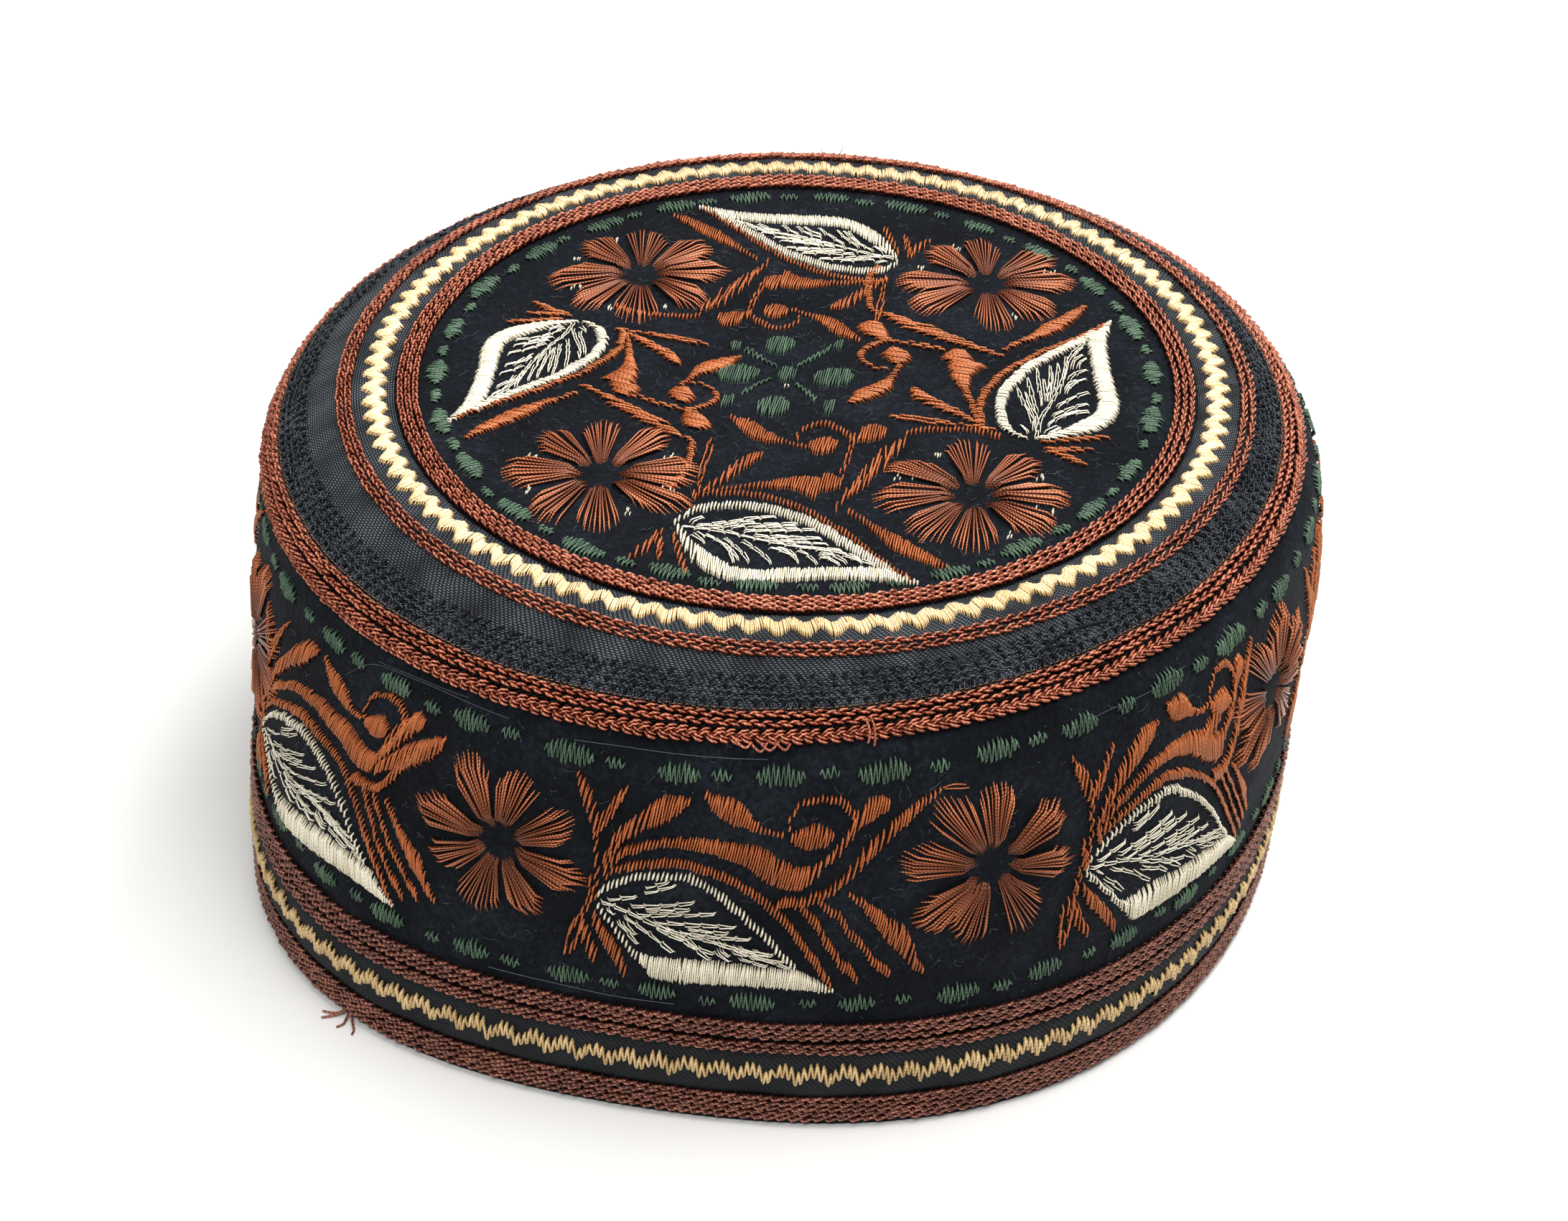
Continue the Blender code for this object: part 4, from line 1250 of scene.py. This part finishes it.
# The green motif in the crown's middle: four round dots and a square, and four zigzag sprigs between them
greenCentre = {
    "middle": (-1.7, -0.1),
    "lean": 82,
    "pitch": 0.38,
    "sprigPitch": 0.55,
    "ragged": 0.3,
    "dots": ((8.0, -0.3, 7.0, 7.2), (-8.0, 0.1, 7.4, 6.6), (-1.3, 9.4, 5.2, 7.0), (-1.9, -9.6, 5.6, 7.4),
             (0.3, 0.2, 3.2, 5.6)),
    "sprigs": (
        ((-1.6, 2.4, 0.8), (-3.6, 4.0, 1.0), (-4.8, 5.2, 2.0), (-6.3, 6.8, 2.8), (-7.4, 7.8, 2.4)),
        ((1.8, 2.6, 0.8), (3.2, 4.2, 1.4), (4.6, 5.6, 2.0), (6.2, 7.2, 2.2), (7.4, 8.8, 2.2)),
        ((-2.4, -1.4, 0.7), (-4.6, -3.2, 1.2), (-6.0, -5.0, 2.0), (-7.4, -6.2, 2.4)),
        ((1.6, -2.8, 0.8), (3.0, -4.6, 1.4), (4.3, -6.4, 2.0), (5.4, -8.0, 2.4)),
    ),
    "buds": (
        ((-8.0, 8.4, 2.6), (-9.0, 8.8, 3.4), (-9.8, 9.0, 1.4)),
        ((7.9, 9.4, 2.4), (8.8, 10.0, 3.4), (9.5, 10.2, 2.0)),
        ((-8.2, -7.6, 3.0), (-9.4, -8.4, 4.4), (-10.6, -8.8, 3.6)),
        ((6.4, -8.6, 2.4), (7.4, -9.6, 5.2), (8.2, -9.4, 4.6)),
    ),
}


def greenMotif():
    # the buds and dots in satin strokes, each dot an oval, and the sprigs in zigzags
    rng = np.random.default_rng(71)
    strokes = list(greenCentre["buds"])
    for x, y, wide, tall in greenCentre["dots"]:
        strokes.append([(x + wide / 2 * s, y, max(0.6, tall * math.sqrt(1 - s**2 * 0.98)))
                        for s in np.linspace(-1, 1, 9)])
    look = greenCentre
    pairs = [satinStroke(rows, look["lean"], look["pitch"], rng, look["ragged"]) for rows in strokes]
    pairs += [zigzagLine(rows, look["sprigPitch"], rng) for rows in look["sprigs"]]
    stitches = [(low + look["middle"], high + look["middle"]) for low, high in pairs]
    embroideryPiece("greenCentreMotif", stitches, onCrown, "green", 72)


def greenRows():
    # one row above the wall's flowers, one below them, and one round the crown
    rng = np.random.default_rng(81)
    for name, key, seed in (("greenTopRow", "topRow", 82), ("greenLowRow", "lowRow", 84),
                            ("greenCrownRow", "crownRow", 86)):
        look = greenLook[key]
        run = look["run"] if "run" in look else float(runAtShare(look["share"]))
        greenRow(name, look, RowPlace(run, look["sway"]), rng, seed)


wallEmbroidery()
crownEmbroidery()
greenRows()
greenMotif()
print("embroidery made")


# Loose fibres: lint on the velvet, frayed braid ends and long grey threads

fibreLook = {
    "lint": 1500,
    "lintWidth": 0.033,
    "long": (0.6, 2.6),
    "wallHeights": (24, 74),
    "crownRadius": 61,
    "curl": 0.55,
    "lift": 0.5,
    "steps": 5,
}


def curlyFibres(place, at, long, rng):
    # a fibre drifts in one direction while a smooth random bend turns it
    count = len(at)
    curl, lift, steps = (fibreLook[key] for key in ("curl", "lift", "steps"))
    heading = rng.uniform(0, 2 * math.pi, (count, 1)) + np.cumsum(rng.normal(0, curl, (count, steps)), axis=1)
    step = long[:, None] / (steps - 1)
    x = at[:, :1] + np.cumsum(np.cos(heading) * step, axis=1)
    y = at[:, 1:2] + np.cumsum(np.sin(heading) * step, axis=1)
    height = lift * np.abs(rng.normal(0.6, 0.4, (count, steps)))
    points = place(x, y, height)
    return points, place(x, y, height + 1) - points


def lintFibres():
    # half the fibres lie scattered over the wall and half over the crown
    rng = np.random.default_rng(91)
    half = fibreLook["lint"] // 2
    wallX = rng.uniform(-math.pi, math.pi, half) * wallRadius
    wallAt = np.stack([wallX, rng.uniform(*fibreLook["wallHeights"], half)], axis=1)
    radius = fibreLook["crownRadius"] * np.sqrt(rng.random(half))
    angle = rng.uniform(0, 2 * math.pi, half)
    crownAt = np.stack([radius * np.cos(angle), radius * np.sin(angle)], axis=1)
    bundles = []
    for place, at in ((wallPlace, wallAt), (onCrown, crownAt)):
        points, up = curlyFibres(place, at, rng.uniform(*fibreLook["long"], half), rng)
        # 1.0 is the full painted light along each fibre
        bundles.append((points, up, fibreLook["lintWidth"], fibreLook["lintWidth"], 3, 1.0))
    threadPiece("velvetLint", bundles, lintFibre, 92)


# Loose ends, each with its thread's half width and the places along it: angle in degrees, run up the
# section, lift
looseEnds = {
    "rustFrayedEnds": (rustBraidThread, "rust_thread", 0.2, (
        ((-133.6, 1.6, 0.9), (-134.0, 0.9, 1.9), (-134.4, 0.5, 2.9), (-134.9, 0.3, 4.0)),
        ((-133.7, 1.5, 0.9), (-134.2, 0.7, 1.8), (-134.9, 0.4, 2.4), (-135.5, 0.3, 2.9)),
        ((-133.2, 1.4, 0.9), (-133.0, 0.8, 1.8), (-132.8, 0.4, 2.6), (-133.0, 0.3, 3.8)),
        ((-132.9, 1.4, 0.9), (-132.2, 0.8, 1.7), (-131.5, 0.4, 2.5), (-131.3, 0.3, 3.4)),
        ((-92.8, 75.2, 1.0), (-92.3, 74.5, 1.7), (-91.7, 74.0, 1.8), (-91.3, 74.6, 1.6), (-91.1, 75.3, 1.0)),
        ((-92.0, 75.4, 1.0), (-91.4, 74.6, 1.9), (-90.8, 74.2, 1.9), (-90.3, 74.8, 1.6), (-90.0, 75.4, 1.0)),
        ((-90.4, 75.4, 1.0), (-89.8, 74.6, 1.8), (-89.3, 74.3, 1.7), (-88.9, 75.2, 1.1)),
        ((-94.2, 75.3, 1.0), (-93.6, 74.6, 1.8), (-93.0, 74.4, 1.7), (-92.6, 75.2, 1.1)),
        ((-81.6, 78.4, 1.2), (-81.4, 77.2, 1.9), (-81.3, 76.0, 1.9), (-81.5, 75.0, 1.0)),
        ((-81.1, 78.6, 1.2), (-80.9, 77.4, 2.0), (-80.8, 75.8, 1.9), (-80.9, 74.6, 1.0)),
    )),
    "orangeLooseEnds": (orangeThread, "rust_thread", 0.12, (
        ((-74.2, 66.9, 0.4), (-73.4, 67.6, 0.9), (-72.6, 67.4, 0.9), (-71.9, 66.8, 0.4)),
        ((-74.0, 66.7, 0.4), (-73.0, 66.9, 1.1), (-72.2, 66.5, 0.8), (-71.6, 66.2, 0.4)),
    )),
    "greyLooseThreads": (lintFibre, "black_velvet", 0.055, (
        ((-110.0, 71.5, 0.3), (-105.0, 72.3, 0.35), (-99.0, 72.5, 0.3), (-91.0, 72.9, 0.35)),
        ((-133.7, 70.2, 0.3), (-129.0, 71.4, 0.35), (-125.0, 71.9, 0.3), (-121.8, 72.3, 0.3)),
        ((-138.0, 64.2, 0.3), (-134.5, 69.8, 0.3), (-126.0, 71.6, 0.35), (-117.0, 71.6, 0.3)),
        ((-117.6, 24.3, 0.3), (-111.0, 24.6, 0.35), (-105.0, 24.2, 0.3), (-99.0, 24.5, 0.3)),
        ((-62.0, 71.2, 0.3), (-57.0, 72.4, 0.35), (-51.0, 72.2, 0.3), (-46.0, 73.2, 0.3)),
        ((88.0, 89.0, 0.7), (87.6, 89.2, 1.5), (87.9, 89.4, 2.6)),
        ((86.0, 89.0, 0.7), (85.4, 89.2, 1.6), (84.9, 89.4, 3.0)),
    )),
    "blackCurledThread": (notchThread, "black_satin", 0.22, (
        ((-61.5, 83.6, 1.0), (-60.0, 84.6, 1.2), (-57.5, 85.4, 1.2), (-55.0, 85.2, 1.2), (-52.5, 84.6, 1.0)),
        ((-60.5, 83.2, 1.0), (-59.0, 84.0, 1.2), (-58.2, 83.4, 1.2), (-59.2, 82.8, 1.0)),
    )),
}


def looseThreads():
    # a round tube along the places of each loose end
    for seed, (name, (material, slot, width, paths)) in enumerate(looseEnds.items()):
        bundles = []
        for path in paths:
            t = np.linspace(0, len(path) - 1, 4 * len(path))
            angle, run, lift = (np.interp(t, np.arange(len(path)), column) for column in zip(*path))
            # corners are rounded off by a running mean that keeps the ends
            for values in (angle, run, lift):
                for _ in range(3):
                    values[1:-1] = (values[:-2] + 2 * values[1:-1] + values[2:]) / 4
            points = onCap(np.radians(angle), run, lift)[None]
            up = onCap(np.radians(angle), run, lift + 1)[None] - points
            # 0.7 is the share of painted light along each loose end
            bundles.append((points, up + (0.0, 0.0, 0.01), width, width, 5, 0.7))
        threadPiece(name, bundles, material, 95 + seed)


lintFibres()
looseThreads()
print("fibres made")


# Floor, light and camera

studio = {
    "floorSide": 6.0,
    "cameraPlace": (-0.0002, -0.4244, 0.3554),
    "cameraAim": (-0.0002, 0.0, 0.0331),
    "cameraTurn": 2.69,
    "lens": 68.83,
    "sensor": 36.0,
    "sky": "#f4f6fa",
    "skyStrength": 0.4,
    "lights": (
        # name, place, aim, size, power
        ("softKey", (0.5, 0.85, 1.1), (0, 0, 0.04), 0.6, 9.0),
        ("topLight", (0.4, -0.05, 1.55), (0, 0, 0.05), 1.3, 27.5),
        ("frontLight", (-0.15, -0.75, 1.05), (0, 0, 0.04), 0.35, 7.6),
    ),
}


def floorMaterial():
    # Painted white board: matt, faintly mottled
    material, tree, shader = newMaterial("whitePaintedBoard", Roughness=0.85, Specular_IOR_Level=0.2)
    place = addNode(tree, "TexCoord").outputs["Object"]
    mottle = addNode(tree, "TexNoise", {"Vector": place}, Scale=9.0, Detail=3.0)
    feed(tree, shader, {"Base Color": ramp(tree, mottle, ((0.3, "#dcdbd7"), (0.7, "#e3e2de")))})
    return material


def point(thing, place, aim, turn=0.0):
    # puts a lamp or camera at a place, looking at its aim, then turns it about its own axis
    thing.location = place
    look = (Vector(aim) - Vector(place)).to_track_quat("-Z", "Y").to_matrix()
    thing.rotation_euler = (look @ Matrix.Rotation(math.radians(turn), 3, "Z")).to_euler()


def floorAndLight():
    # a white floor, an even sky and three soft lamps
    half = studio["floorSide"] / 2 / mm
    corners = np.array([(-half, -half, 0), (half, -half, 0), (half, half, 0), (-half, half, 0)], float)
    mesh = bpy.data.meshes.new("floor")
    mesh.from_pydata((corners * mm).tolist(), [], [(0, 1, 2, 3)])
    mesh.materials.append(floorMaterial())
    floor = bpy.data.objects.new("floor", mesh)
    bpy.context.scene.collection.objects.link(floor)
    world = bpy.data.worlds.new("studio")
    world.use_nodes = True
    sky = {"Color": linearColour(studio["sky"]), "Strength": studio["skyStrength"]}
    feed(world.node_tree, world.node_tree.nodes["Background"], sky)
    bpy.context.scene.world = world
    for name, place, aim, size, power in studio["lights"]:
        light = bpy.data.lights.new(name, "AREA")
        light.shape = "DISK"
        light.size = size
        light.energy = power
        lamp = bpy.data.objects.new(name, light)
        bpy.context.scene.collection.objects.link(lamp)
        point(lamp, place, aim)


def addCamera():
    # the camera of the front view
    camera = bpy.data.cameras.new("camera")
    camera.lens = studio["lens"]
    camera.sensor_width = studio["sensor"]
    camera.clip_start = 0.01
    holder = bpy.data.objects.new("camera", camera)
    bpy.context.scene.collection.objects.link(holder)
    point(holder, studio["cameraPlace"], studio["cameraAim"], studio["cameraTurn"])
    bpy.context.scene.camera = holder


floorAndLight()
addCamera()
bpy.context.scene.view_settings.view_transform = "Standard"
print("floor, light and camera made")
